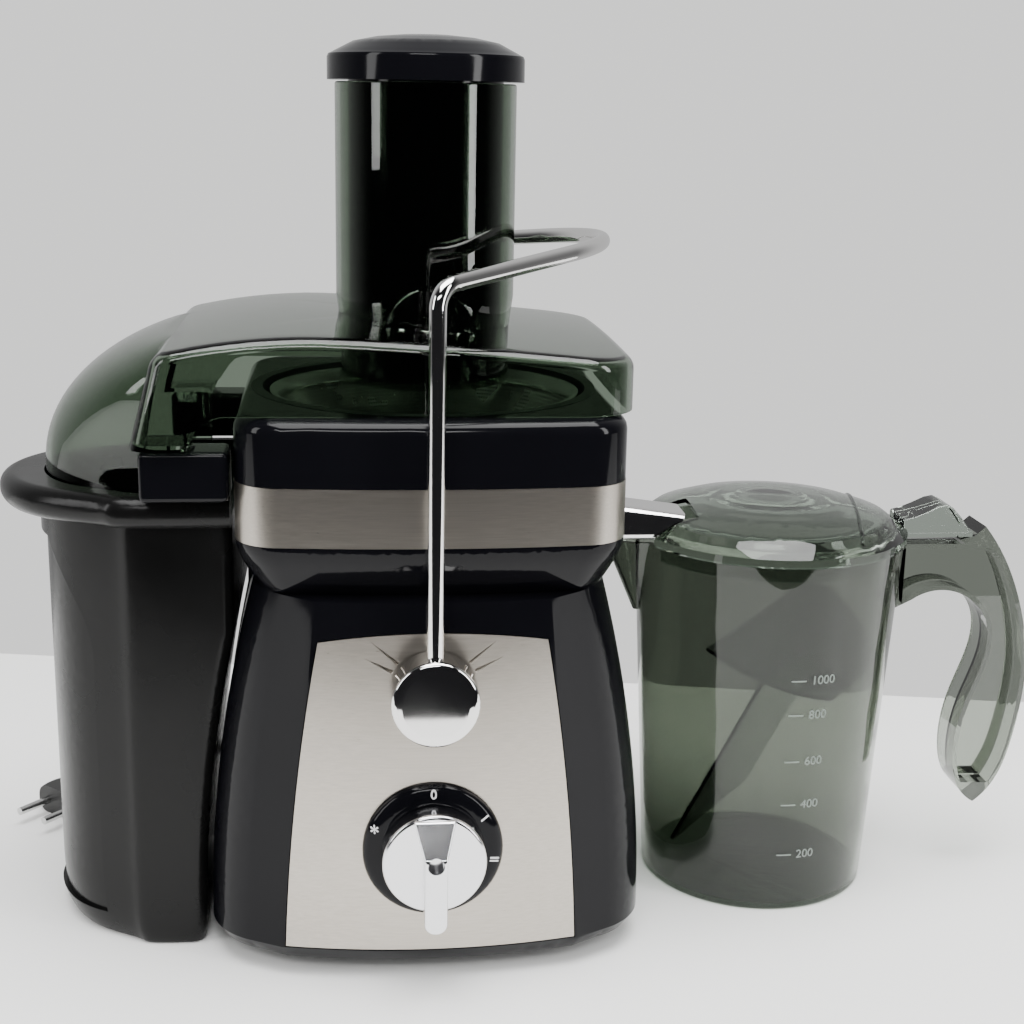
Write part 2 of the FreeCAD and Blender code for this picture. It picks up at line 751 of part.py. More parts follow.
def make_collar():
    levels = [(base_top + collar_seam + (collar_tuck_height - collar_seam) * share, collar_tuck * tuck)
              for share, tuck in ((0, 1), (0.26, 0.64), (0.5, 0.36), (0.75, 0.11), (1, 0))]
    low = loft([collar_outline(height, inset) for height, inset in levels])
    high = collar_prism(collar_shoulder, collar_top - collar_edge)
    edge_levels = [collar_edge * math.sin(math.radians(angle)) for angle in (0, 22, 42, 60, 76, 90)]
    rim = loft([collar_outline(collar_top - collar_edge + rise,
                               collar_edge - math.sqrt(max(collar_edge ** 2 - rise ** 2, 0.0)))
                for rise in edge_levels], True)
    outer = low.fuse(high).fuse(rim)
    inner = [(height, inset + collar_wall) for height, inset in levels]
    inner[0] = (base_top - 0.5, collar_tuck + collar_wall)
    hollow = loft([collar_outline(height, inset) for height, inset in inner])
    hollow = hollow.fuse(collar_prism(collar_shoulder, collar_top - collar_wall, collar_wall))
    shell = outer.cut(hollow)
    groove = collar_prism(band_low - 0.2, band_high + 0.2, -2.0)
    groove = groove.cut(collar_prism(band_low - 1.0, band_high + 1.0, band_thickness))
    shell = shell.cut(groove.common(band_space()))
    shell = shell.cut(post(bowl_radius + 1.0, collar_top - collar_wall - 1, collar_top + 1))
    floor = Part.Face(collar_outline(base_top + collar_seam, collar_tuck)).extrude(point(0, 0, 2.0))
    floor = floor.cut(post(chimney_radius + 4.0, base_top - 1, base_top + 4))
    return shell.fuse(floor)


def band_space():
    return box(point(-150, -200, band_low - 0.2), point(150, band_end, band_high + 0.2))


def spout_section(x, low, width, height, grow):
    half = width / 2.0 + grow
    bottom = low - grow
    top = low + height + grow
    soft = min(half, (top - bottom) / 2.0) * 0.72
    small = 3.0
    y = spout_middle_y
    slant = math.sqrt(0.5)
    edges = [
        Part.LineSegment(point(x, y - half + small, bottom), point(x, y + half - small, bottom)),
        Part.Arc(point(x, y + half - small, bottom),
                 point(x, y + half - small + small * slant, bottom + small - small * slant),
                 point(x, y + half, bottom + small)),
        Part.LineSegment(point(x, y + half, bottom + small), point(x, y + half, top - soft)),
        Part.Arc(point(x, y + half, top - soft),
                 point(x, y + half - soft + soft * slant, top - soft + soft * slant),
                 point(x, y + half - soft, top)),
        Part.LineSegment(point(x, y + half - soft, top), point(x, y - half + soft, top)),
        Part.Arc(point(x, y - half + soft, top),
                 point(x, y - half + soft - soft * slant, top - soft + soft * slant),
                 point(x, y - half, top - soft)),
        Part.LineSegment(point(x, y - half, top - soft), point(x, y - half, bottom + small)),
        Part.Arc(point(x, y - half, bottom + small),
                 point(x, y - half + small - small * slant, bottom + small - small * slant),
                 point(x, y - half + small, bottom)),
    ]
    return Part.Wire([edge.toShape() for edge in edges])


def spout_solid(grow):
    """The spout's outer skin, or its passage where grow is negative."""
    spill = 0.0 if grow == 0 else 3.0
    return loft([spout_section(spout_start - spill, spout_low, spout_width, spout_height, grow),
                 spout_section(spout_end + spill, spout_low, spout_width, spout_tip_height, grow)])


def spout_end_cut():
    low = spout_low - 5.0
    top = spout_low + spout_height
    rake = [point(spout_end - 13.0, -30, low), point(spout_end + 3.0, -30, top),
            point(spout_end + 20.0, -30, top), point(spout_end + 20.0, -30, low)]
    return polygon(rake).extrude(point(0, 70, 0))


spout = spout_solid(0.0).cut(spout_solid(-spout_wall)).cut(spout_end_cut())
shapes["juice_spout"] = spout.cut(post(bowl_radius - bowl_wall, base_top, collar_top))
spout_hole = spout_solid(0.0)
bowl = turned([
    (chimney_radius - bowl_wall, bowl_floor), (bowl_radius - bowl_bevel, bowl_floor),
    (bowl_radius, bowl_floor + bowl_bevel_height), (bowl_radius, collar_top),
    (bowl_radius + 3.0, collar_top), (bowl_radius + 3.0, collar_top + 0.2),
    (bowl_radius - bowl_wall, collar_top + 0.2),
    (bowl_radius - bowl_wall, bowl_floor + bowl_bevel_height),
    (bowl_radius - bowl_bevel - bowl_wall, bowl_floor + bowl_wall),
    (chimney_radius, bowl_floor + bowl_wall), (chimney_radius, chimney_top),
    (chimney_radius - bowl_wall, chimney_top)])
seat = pipe(chimney_radius + 12.0, chimney_radius + 6.0, base_top + collar_seam + 2.0, bowl_floor)
shapes["collector_bowl"] = bowl.fuse(seat).cut(spout_hole)
shapes["collar_housing"] = make_collar().cut(spout_hole)
band = collar_prism(band_low, band_high, -0.15).cut(collar_prism(0, 300, band_thickness))
shapes["steel_band"] = band.common(band_space())
shapes["shaft_seal"] = pipe(chimney_radius - bowl_wall, 9.6, bowl_floor + 1, chimney_top - 4)

# ---- rotor: coupling, basket and grater ---------------------------------------------------

shapes["drive_coupling"] = turned([
    (shaft_radius, basket_floor - 17.0), (9.0, basket_floor - 17.0), (9.0, basket_floor - 1.0),
    (shaft_radius, basket_floor - 1.0)])
hub_inner = chimney_radius + 3.0
basket_rim_low = basket_rim_top - basket_rim_height
shapes["filter_basket"] = turned([
    (basket_floor_radius, basket_floor), (basket_floor_radius + basket_mesh, basket_floor),
    (basket_rim_radius - 1.6, basket_rim_low), (basket_rim_radius - 2.6, basket_rim_low)])
shapes["basket_rim"] = turned([
    (basket_rim_radius - 5.0, basket_rim_low), (basket_rim_radius, basket_rim_low),
    (basket_rim_radius, basket_rim_top), (basket_rim_radius - 2.0, basket_rim_top),
    (basket_rim_radius - 5.0, basket_rim_top - 4.0)])
hub_low = basket_floor - 5.0
shapes["basket_hub"] = turned([
    (9.0, hub_low), (12.0, hub_low), (hub_inner, hub_low + 1.5), (basket_floor_radius + 2.0, hub_low + 1.5),
    (basket_floor_radius + 2.0, basket_floor), (9.0, basket_floor)])
grater = pipe(basket_floor_radius, 7.0, basket_floor, basket_floor + grater_thickness)
teeth = []
for ring_number in range(3):
    ring_radius = 18.0 + 9.0 * ring_number
    count = 8 + 4 * ring_number
    for step in range(count):
        tooth = Part.makeCone(1.5, 0.3, 1.6, point(ring_radius, 0, basket_floor + grater_thickness))
        tooth.rotate(point(0, 0, 0), point(0, 0, 1), 360.0 * step / count)
        teeth.append(tooth)
shapes["grater_disc"] = grater.multiFuse(teeth)
shapes["basket_nut"] = turned([
    (shaft_radius, basket_floor), (7.0, basket_floor), (7.0, basket_floor + 5.0),
    (shaft_radius, basket_floor + 7.0)])

# ---- lid, feed tube and pusher ------------------------------------------------------------

def lid_profile(inset):
    """Front outline of the hood, as a face that is extruded front to back."""
    right = lid_right - inset
    left = lid_left - inset
    top = lid_crown - inset
    edges = [
        Part.LineSegment(point(-left, 0, lid_over_container - 30), point(right, 0, lid_over_container - 30)),
        Part.LineSegment(point(right, 0, lid_over_container - 30),
                         point(right, 0, lid_right_height - 14 - inset)),
        Part.Arc(point(right, 0, lid_right_height - 14 - inset),
                 point(right - 3.6, 0, lid_right_height - 3.9 - inset),
                 point(right - 13, 0, lid_right_height + 1.0 - inset)),
        Part.Arc(point(right - 13, 0, lid_right_height + 1.0 - inset), point(-30, 0, top),
                 point(-lid_left_corner + 6, 0, lid_left_height - inset)),
        Part.Arc(point(-lid_left_corner + 6, 0, lid_left_height - inset),
                 point(-left + 16, 0, lid_left_height - 20 - inset),
                 point(-left, 0, lid_over_container - 4.0)),
        Part.LineSegment(point(-left, 0, lid_over_container - 4.0), point(-left, 0, lid_over_container - 30)),
    ]
    return Part.Face(Part.Wire([edge.toShape() for edge in edges]))


def lid_plan(inset):
    """Plan outline of the hood: a square right end and a rounded nose over the container."""
    right = lid_right - inset
    depth = lid_half_depth - inset
    left = lid_left - inset
    corner = lid_corner_radius - inset
    waist = lid_left_corner
    slant = math.sqrt(0.5)
    shoulder = depth - 6.0

    def half(sy):
        return [
            Part.Arc(point(right, sy * (depth - corner), 0),
                     point(right - corner + corner * slant, sy * (depth - corner + corner * slant), 0),
                     point(right - corner, sy * depth, 0)),
            Part.LineSegment(point(right - corner, sy * depth, 0), point(-waist + 20, sy * depth, 0)),
            Part.Arc(point(-waist + 20, sy * depth, 0), point(-waist + 8, sy * (depth - 1.4), 0),
                     point(-waist - 1, sy * shoulder, 0)),
            Part.Arc(point(-waist - 1, sy * shoulder, 0),
                     point(-waist - (left - waist) * 0.72, sy * shoulder * 0.70, 0), point(-left, 0, 0)),
        ]

    edges = half(-1) + half(1) + [
        Part.LineSegment(point(right, depth - corner, 0), point(right, -(depth - corner), 0))]
    sorted_edges = Part.__sortEdges__([edge.toShape() for edge in edges])
    return Part.Face(Part.Wire(sorted_edges))


def hood_solid(inset):
    profile = lid_profile(inset)
    profile.translate(point(0, -120, 0))
    plan = lid_plan(inset)
    plan.translate(point(0, 0, 150))
    return profile.extrude(point(0, 240, 0)).common(plan.extrude(point(0, 0, 200)))


def skirt_outline(height, inset):
    shrink = container_wall + lid_skirt_gap + inset
    return container_arc(height, container_reach - shrink, container_depth - shrink)


def container_arc(height, reach, depth):
    """Half ellipse on the left of the container's centre line, from front to back."""
    curve = Part.BSplineCurve()
    spots = []
    for step in range(9):
        angle = math.pi / 2 + math.pi * step / 8
        spots.append(point(reach * math.cos(angle), depth * math.sin(angle), height))
    curve.interpolate(Points=spots, InitialTangent=point(-1, 0, 0), FinalTangent=point(1, 0, 0))
    arc = curve.toShape()
    arc.translate(point(-container_centre, 0, 0))
    return arc


def lid_skirt(low, high):
    def face(inset):
        arc = skirt_outline(low, inset)
        start = arc.Vertexes[0].Point
        end = arc.Vertexes[-1].Point
        corner_a = point(-lid_step_x, end.y, low)
        corner_b = point(-lid_step_x, start.y, low)
        lines = [Part.LineSegment(end, corner_a), Part.LineSegment(corner_a, corner_b),
                 Part.LineSegment(corner_b, start)]
        return Part.Face(Part.Wire([arc] + [line.toShape() for line in lines]))

    outer = face(0.0).extrude(point(0, 0, high - low))
    inner = face(lid_wall).extrude(point(0, 0, high - low))
    ring = outer.cut(inner)
    mouth = container_depth - 8.0
    return ring.cut(box(point(-lid_step_x - 3.0, -mouth, low - 1), point(-60, mouth, high + 1)))


def make_lid():
    outer = hood_solid(0.0)
    inner = hood_solid(lid_wall)
    shell = outer.cut(inner)
    over_collar = box(point(-lid_step_x, -200, 100), point(200, 200, lid_over_collar))
    below = box(point(-300, -200, 100), point(200, 200, lid_over_container))
    shell = shell.cut(over_collar).cut(below)
    ledge = hood_solid(0.0).common(box(point(-300, -200, lid_over_container),
                                       point(-lid_step_x, 200, lid_over_container + lid_wall)))
    skirt = lid_skirt(lid_skirt_low, lid_over_container + lid_wall)
    arc = skirt_outline(lid_over_container - 1.0, lid_wall)
    start = arc.Vertexes[0].Point
    end = arc.Vertexes[-1].Point
    lines = [Part.LineSegment(end, point(0, end.y, end.z)),
             Part.LineSegment(point(0, end.y, end.z), point(0, start.y, end.z)),
             Part.LineSegment(point(0, start.y, end.z), start)]
    throat = Part.Face(Part.Wire([arc] + [line.toShape() for line in lines]))
    ledge = ledge.cut(throat.extrude(point(0, 0, 10)))
    shell = shell.fuse(ledge).fuse(skirt)
    tube = turned([
        (tube_inner, tube_top), (tube_outer, tube_top), (tube_outer, lid_crown + 8.0),
        (tube_neck + lid_wall, lid_crown - 8.0), (tube_neck + lid_wall, tube_bottom),
        (tube_neck, tube_bottom), (tube_neck, lid_crown - 8.0), (tube_inner, lid_crown + 8.0)])
    catch = rod_y(catch_radius, -tube_outer - 8.0, -tube_outer - 8.0 + catch_thickness + 8.0, 0,
                  lid_crown - 5.0)
    catch = catch.common(box(point(-30, -tube_outer - 20, lid_crown - 4), point(30, 0, lid_crown + 30)))
    shell = shell.fuse(tube).fuse(catch)
    bore = turned([(0, tube_bottom - 1), (tube_neck, tube_bottom - 1), (tube_neck, lid_crown - 8.0),
                   (tube_inner, lid_crown + 8.0), (tube_inner, tube_top + 1), (0, tube_top + 1)])
    shell = shell.cut(bore)
    for sy in (-1, 1):
        reach = sorted([sy * container_depth, sy * (lid_half_depth - 2.0)])
        rib = box(point(-lid_step_x - 14.0, reach[0], lid_over_container + 1),
                  point(-lid_step_x - 12.0, reach[1], lid_left_height - 3))
        shell = shell.fuse(rib)
    return shell


shapes["lid"] = make_lid()
pusher = turned([
    (0, pusher_bottom), (pusher_radius - 1.5, pusher_bottom), (pusher_radius, pusher_bottom + 1.5),
    (pusher_radius, pusher_cap_low), (pusher_cap_radius, pusher_cap_low),
    (pusher_cap_radius, pusher_cap_edge - 2.0), (pusher_cap_radius - 0.6, pusher_cap_edge - 0.6),
    (pusher_cap_radius - 2.0, pusher_cap_edge), (pusher_cap_radius - 3.0, pusher_cap_edge + 0.6),
    (pusher_cap_radius * 0.74, pusher_top - 3.2), (pusher_cap_radius * 0.51, pusher_top - 1.2),
    (pusher_cap_radius * 0.26, pusher_top - 0.2), (0, pusher_top)])
hollow = post(pusher_radius - pusher_wall, pusher_bottom + pusher_wall, pusher_cap_low - 1.0)
shapes["pusher"] = pusher.cut(hollow)

# ---- pulp container -----------------------------------------------------------------------

def inner_wall(height):
    """The container's wall beside the base stands clear of the base and of the collector."""
    base = base_half_width(min(max(height, skirt_top), base_top))
    return max(base, collar_half_width) + container_gap


def container_section(height, inset=0.0, wall=0.0):
    reach = container_reach - inset - wall
    depth = container_depth - 0.35 * inset - wall
    side = inner_wall(height) + wall + 0.2 * inset
    corner = max(container_corner - wall, 1.5)
    arc = container_arc(height, reach, depth)
    slant = math.sqrt(0.5)
    edges = [arc]
    for sy in (-1, 1):
        on_wall = point(-side, sy * (depth - corner), height)
        on_front = point(-side - corner, sy * depth, height)
        bulge = point(-side - corner + corner * slant, sy * (depth - corner + corner * slant), height)
        edges.append(Part.LineSegment(point(-container_centre, sy * depth, height), on_front).toShape())
        edges.append(Part.Arc(on_front, bulge, on_wall).toShape())
    edges.append(Part.LineSegment(point(-side, depth - corner, height),
                                  point(-side, corner - depth, height)).toShape())
    return Part.Wire(Part.__sortEdges__(edges))


def container_inset(height):
    """The foot is rounded in like a quarter of an ellipse."""
    if height >= container_foot_round:
        return 0.0
    share = 1.0 - height / container_foot_round
    return container_foot_inset * (1.0 - math.sqrt(1.0 - share ** 2.6))


def container_solid(wall=0.0, extra=0.0, bottom=0.0, top=None):
    top = container_lip_low + 4.0 if top is None else top
    foot_levels = [0.0, 0.8, 2.0, 4.0, 7.0, 11.0, 16.0, 21.0, container_foot_round]
    foot = loft([container_section(bottom + height, container_inset(height) + extra, wall)
                 for height in foot_levels], True)
    start = bottom + container_foot_round
    kink = base_kink()
    rise = [start + (kink - start) * step / 4 for step in range(5)]
    body = loft([container_section(height, extra, wall) for height in rise])
    neck = Part.Face(container_section(kink, extra, wall)).extrude(point(0, 0, top - kink))
    return foot.fuse(body).fuse(neck)


def base_kink():
    """Height at which the base is as wide as the collector above it."""
    fall = base_half_width_low - base_half_width_high
    share = math.sqrt((base_half_width_low - collar_half_width) / fall)
    return skirt_top + (base_top - skirt_top) * share


def recess_face():
    """Front view of the sunk side panel, bounded on the right by a long S curve."""
    edge_x = -container_centre - 37.0
    outer_x = -container_centre - container_reach - 20.0
    high = container_top - 26.0
    low = 12.0
    curve = Part.BSplineCurve()
    curve.interpolate([point(edge_x - 21.5, 0, high), point(edge_x - 9, 0, high - 24),
                       point(edge_x - 2.5, 0, high - 39), point(edge_x - 1, 0, high - 63),
                       point(edge_x - 1, 0, 76), point(edge_x, 0, low)])
    chain = [point(edge_x, 0, low), point(outer_x, 0, low), point(outer_x, 0, high),
             point(edge_x - 21.5, 0, high)]
    edges = [curve.toShape()] + segments(chain, closed=False)
    return Part.Face(Part.Wire(edges))


def make_container():
    outer = container_solid()
    zone = recess_face()
    zone.translate(point(0, -120, 0))
    zone = zone.extrude(point(0, 240, 0))
    outer = outer.cut(zone.cut(container_solid(extra=container_recess)))
    lip_face = container_lip_face(container_lip_reach, container_lip_depth)
    lip = lip_face.extrude(point(0, 0, container_top - container_lip_low))
    lip_edges = [edge for edge in lip.Edges
                 if edge.BoundBox.XMin < -container_centre - 10
                 and edge.BoundBox.XMax - edge.BoundBox.XMin > 20]
    lip = lip.makeFillet(6.5, lip_edges)
    outer = outer.fuse(lip)
    cavity = container_solid(wall=container_wall + container_recess, bottom=container_wall,
                             top=container_top + 2)
    mouth = container_lip_face(container_reach - container_wall, container_depth - container_wall)
    mouth = mouth.extrude(point(0, 0, container_top - container_lip_low + 2))
    mouth.translate(point(0, 0, 4))
    outer = outer.cut(cavity).cut(mouth)
    notch = box(point(-inner_wall(container_top) - 4.0, -container_depth + 4.0, container_inner_top),
                point(-60, container_depth - 4.0, container_top + 1))
    return outer.cut(notch)


def container_lip_face(reach, depth):
    arc = container_arc(container_lip_low, reach, depth)
    first = arc.Vertexes[0].Point
    last = arc.Vertexes[-1].Point
    side = -inner_wall(container_top)
    lines = [Part.LineSegment(last, point(side, last.y, last.z)),
             Part.LineSegment(point(side, last.y, last.z), point(side, first.y, last.z)),
             Part.LineSegment(point(side, first.y, last.z), first)]
    return Part.Face(Part.Wire([arc] + [line.toShape() for line in lines]))


shapes["pulp_container"] = make_container()

# ---- juice jug ----------------------------------------------------------------------------

jug_slope = (jug_rim_radius - jug_foot_radius) / jug_height


def jug_inside(clearance, low=None, high=None):
    """The space in the jug, kept clear of its wall by the given clearance."""
    low = jug_floor if low is None else low
    high = jug_height + 1.0 if high is None else high
    base = jug_foot_radius + jug_slope * low - jug_wall - clearance
    top = jug_foot_radius + jug_slope * high - jug_wall - clearance
    return Part.makeCone(base, top, high - low, point(jug_x, jug_y, low))


def lip_cone(shrink, high):
    rise = (lip_radius - lip_root) / (jug_height - lip_low)
    top = lip_radius + rise * (high - jug_height) - shrink
    return Part.makeCone(max(lip_root - shrink, 0.2), top, high - lip_low,
                         point(jug_x - jug_wall_at_lip, jug_y, lip_low))


def from_rim(out, down):
    """A point in the handle's middle plane, measured out and down from the jug's rim."""
    return point(jug_x + jug_rim_radius + out, 0, jug_height - down)


def handle_curves():
    """Outer and inner curves of the free tusk, from its root to its tip and back."""
    outer_curve = Part.BSplineCurve()
    outer_curve.interpolate([from_rim(39.7, -5.4), from_rim(52, 13), from_rim(61.2, 36), from_rim(66.4, 62),
                             from_rim(63.8, 100), from_rim(52, 132), from_rim(45.7, 138)])
    inner_curve = Part.BSplineCurve()
    inner_curve.interpolate([from_rim(45.7, 138), from_rim(38.7, 132), from_rim(33.2, 113),
                             from_rim(37.7, 83), from_rim(44.7, 61), from_rim(45.2, 47),
                             from_rim(39.2, 35)])
    return outer_curve, inner_curve


def handle_face():
    """Front view of the handle: a bracket from the rim and a free tusk hanging from it."""
    outer_curve, inner_curve = handle_curves()
    arch_end = from_rim(5.7, 31)
    arch = Part.Arc(from_rim(39.2, 35), from_rim(22.2, 26.5), arch_end).toShape()
    chain = [arch_end, from_rim(-2.3, 35), from_rim(-2.3, 3.1), from_rim(30.2, 3.1),
             from_rim(39.7, -5.4)]
    edges = [outer_curve.toShape(), inner_curve.toShape(), arch] + segments(chain, closed=False)
    return Part.Face(Part.Wire(Part.__sortEdges__(edges)))


def inner_line(curve, start_share, end_share):
    """A curve that runs one wall inside the tusk's edge, between two shares of its length."""
    spots = []
    for step in range(9):
        share = start_share + (end_share - start_share) * step / 8
        at = curve.FirstParameter + (curve.LastParameter - curve.FirstParameter) * share
        heading = curve.tangent(at)[0]
        inward = point(heading.z, 0, -heading.x) * handle_wall
        spots.append(curve.value(at) + inward)
    line = Part.BSplineCurve()
    line.interpolate(spots)
    return line, spots[0], spots[-1]


def handle_pocket_face():
    """The hollow between the handle's edge walls, on each side of its web."""
    outer_curve, inner_curve = handle_curves()
    outer_line, outer_start, outer_end = inner_line(outer_curve, 0.1, 0.92)
    inner_edge, inner_start, inner_end = inner_line(inner_curve, 0.12, 0.97)
    arch_end = from_rim(5.7, 31 - handle_wall)
    arch = Part.Arc(inner_end, from_rim(23.2, 26.5 - handle_wall), arch_end).toShape()
    chain = [arch_end, from_rim(0.7, 35 - handle_wall), from_rim(0.7, 3.1 + handle_wall),
             from_rim(32.7, 3.1 + handle_wall), outer_start]
    edges = [outer_line.toShape(), Part.LineSegment(outer_end, inner_start).toShape(),
             inner_edge.toShape(), arch] + segments(chain, closed=False)
    return Part.Face(Part.Wire(Part.__sortEdges__(edges)))


def make_jug():
    body = Part.makeCone(jug_foot_radius, jug_rim_radius, jug_height, point(jug_x, jug_y, 0))
    foot_edge = [edge for edge in body.Edges if edge.BoundBox.ZMax < 0.5]
    body = body.makeFillet(2.0, foot_edge)
    body = body.fuse(lip_cone(0.0, jug_height))
    face = handle_face()
    half = handle_width / 2.0
    middle = jug_y - handle_shift
    face.translate(point(0, middle - half, 0))
    handle = face.extrude(point(0, handle_width, 0))
    pocket_face = handle_pocket_face()
    pocket_face.translate(point(0, middle - half - 1.0, 0))
    pocket = pocket_face.extrude(point(0, handle_width + 2.0, 0))
    web = box(point(jug_x, middle - handle_wall / 2.0, 0),
              point(jug_x + 400, middle + handle_wall / 2.0, jug_height + 50))
    handle = handle.cut(pocket.cut(web))
    body = body.fuse(handle)
    inside = jug_inside(0.0)
    inside = inside.fuse(lip_cone(jug_wall, jug_height + 1.0))
    return body.cut(inside)


shapes["juice_jug"] = make_jug()

lid_low = jug_height + 0.3
skirt_radius = jug_rim_radius - jug_wall - jug_lid_gap
jug_lid_top = lid_low + jug_lid_dome
dome_outside = [(8.4, 8.0), (20.4, 4.0), (34.4, 1.4), (49.4, 0.2)]
dome = [(jug_rim_radius - inward, jug_lid_top - drop) for inward, drop in dome_outside]
under = [(jug_rim_radius - inward, jug_lid_top - drop - 2.1) for inward, drop in dome_outside[:3]]
jug_lid = turned([
    (skirt_radius - 1.8, lid_low - 7.0), (skirt_radius, lid_low - 7.0), (skirt_radius, lid_low),
    (jug_rim_radius + 1.4, lid_low), (jug_rim_radius + 1.4, lid_low + jug_lid_edge),
    (jug_rim_radius - 1.0, lid_low + jug_lid_edge + 1.5)] + dome + [
    (0, jug_lid_top), (0, jug_lid_top - 2.0)] + under[::-1] + [
    (skirt_radius - 1.8, lid_low + 3.0)], jug_x, jug_y)
tab_front = jug_y - 13.0
tab_back = jug_y + 9.0
tab_end = jug_x + jug_rim_radius + tab_reach
tab = box(point(jug_x + 50, tab_front, lid_low), point(tab_end, tab_back, lid_low + tab_thickness))
hump = rod_y(hump_radius, tab_front, tab_back, tab_end - 2.0 * hump_radius, lid_low + 2.0 * tab_thickness)
hump = hump.common(box(point(tab_end - 40, tab_front - 5, lid_low + 1),
                       point(tab_end + 10, tab_back + 5, lid_low + 30)))
thumb = tab.fuse(hump).cut(post(jug_rim_radius - 2.0, lid_low - 20, lid_low + 20, jug_x, jug_y))
jug_lid = jug_lid.fuse(thumb)
spout_width_clear = spout_width / 2.0 + notch_clearance
notch = box(point(0, spout_middle_y - spout_width_clear, lid_low - 20),
            point(spout_end + 2.0 + notch_clearance, spout_middle_y + spout_width_clear, jug_lid_top + 30))
shapes["jug_lid"] = jug_lid.cut(notch).cut(
    post(lip_radius + 6, lid_low - 20, lid_low, jug_x - jug_wall_at_lip + 2.5, jug_y))


def separator_space(solid):
    """Lays a piece modelled on the separator's own axes diagonally in the jug."""
    turn = FreeCAD.Rotation(-38.6, 26.2, 4.2)
    place = point(jug_x + 17.1, jug_y - 17.5, jug_height - 51.6)
    solid.Placement = FreeCAD.Placement(place, turn)
    return solid


half_thick = separator_thickness / 2.0
plate = separator_space(box(point(-half_thick, -41, -112), point(half_thick, 41, half_thick)))
fan = Part.makeCylinder(62.0, separator_thickness, point(0, 0, -half_thick))
fan = fan.common(box(point(-27, -60, -5), point(29, 60, 5)))
fan = separator_space(fan)
separator = plate.fuse(fan)
shapes["froth_separator"] = separator.common(jug_inside(separator_clearance, 8.0, jug_height - 10.0))

# ---- mains lead ---------------------------------------------------------------------------

lead_points = [
    point(cord_exit_x, cord_exit_y, cord_exit_z), point(cord_exit_x, 139, 16.4),
    point(59.5, 155, 12.0), point(48, 170, 6.8), point(29, 178.4, 3.6), point(7, 179.9, cord_radius)]
tail_points = [
    point(-34, 179.0, 9.4), point(-62, 177, 6.2), point(-92, 170, 3.6), point(-120, 155, cord_radius),
    point(-142, 136, 4.4), point(-158.9, 116.5, plug_thickness / 2.0 + 0.1)]


def run_radii(points):
    radii = []
    for before, corner, after in zip(points, points[1:], points[2:]):
        back = before - corner
        on = after - corner
        turn = math.pi - back.getAngle(on)
        radii.append(0.45 * min(back.Length, on.Length) / math.tan(turn / 2.0))
    return radii


def cord_tube(name, points):
    radii = run_radii(points)
    path = rounded(points, radii)
    tube = swept(path, cord_radius)
    section = math.pi * cord_radius ** 2
    print(name, "radii", [round(radius, 1) for radius in radii], "length", round(path.Length, 1),
          "volume ratio", round(tube.Volume / (section * path.Length), 4))
    return tube


shapes["mains_lead"] = cord_tube("mains_lead", lead_points)
shapes["lead_tail"] = cord_tube("lead_tail", tail_points)
coil_low = 0.0
coil_high = 12.6
coil_block = pipe(coil_outer_turn + cord_radius, coil_inner_turn - cord_radius, coil_low, coil_high,
                  coil_x, coil_y)
coil_block = coil_block.makeFillet(2.0, coil_block.Edges)
shapes["lead_coil"] = coil_block
relief_start = point(cord_exit_x, cord_exit_y - relief_length, cord_exit_z)
relief = Part.makeCone(2.0 * cord_radius, cord_radius + 1.2, relief_length, relief_start, point(0, 1, 0))
collar = rod_y(cord_radius + 1.7, cord_exit_y - relief_length - 8.0, cord_exit_y - relief_length + 1.0,
               cord_exit_x, cord_exit_z)
shapes["strain_relief"] = relief.fuse(collar)

plug_axis = point(-0.65, -0.76, 0).normalize()
plug_across = point(-plug_axis.y, plug_axis.x, 0)
plug_up = plug_across.cross(plug_axis)
plug_root = tail_points[-1] + plug_axis * (plug_length + 6.0)


def on_plug(along, across, up):
    return plug_root + plug_axis * along + plug_across * across + plug_up * up


def plug_section(along, width, thickness):
    corner = min(width, thickness) * 0.42
    half_w = width / 2.0
    half_t = thickness / 2.0
    corner_list = [(-half_w, -half_t), (half_w, -half_t), (half_w, half_t), (-half_w, half_t)]
    ring = [on_plug(along, a, b) for a, b in corner_list]
    start = (ring[0] + ring[1]) * 0.5
    return rounded([start, ring[1], ring[2], ring[3], ring[0], start], [corner] * 4)


plug = loft([plug_section(0.0, plug_width, plug_thickness),
             plug_section(-plug_length * 0.45, plug_width * 0.94, plug_thickness),
             plug_section(-plug_length, 11.0, 11.0),
             plug_section(-plug_length - 6.0, 9.0, 9.0)])
shapes["plug_body"] = plug
shapes["plug_pins"] = group([
    Part.makeCylinder(plug_pin_radius, plug_pin_length + 4.0, on_plug(-4.0, side * plug_pin_spacing / 2, 0),
                      plug_axis) for side in (-1, 1)])
shapes["plug_body"] = shapes["plug_body"].cut(shapes["plug_pins"])
shapes["mains_lead"] = shapes["mains_lead"].cut(coil_block)
shapes["lead_tail"] = shapes["lead_tail"].cut(coil_block)

# ---- common frame and export --------------------------------------------------------------

whole = FreeCAD.BoundBox()
for name, shape in shapes.items():
    if name not in cord_names:
        whole.add(shape.optimalBoundingBox())
to_middle = point(-whole.Center.x, -whole.Center.y, 0)
print("moved by", round(to_middle.x, 3), round(to_middle.y, 3), "lowest", round(whole.ZMin, 3))
for name, shape in shapes.items():
    shape.translate(to_middle)
    solids = shape.Solids
    print(name, len(solids), "valid" if shape.isValid() else "INVALID", round(shape.Volume / 1000.0, 2))
    out = solids[0] if len(solids) == 1 else Part.Compound(solids)
    out.exportStep("parts/" + name + ".step")
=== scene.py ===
import json
import math
import bpy
from mathutils import Matrix, Vector
from mathutils.bvhtree import BVHTree


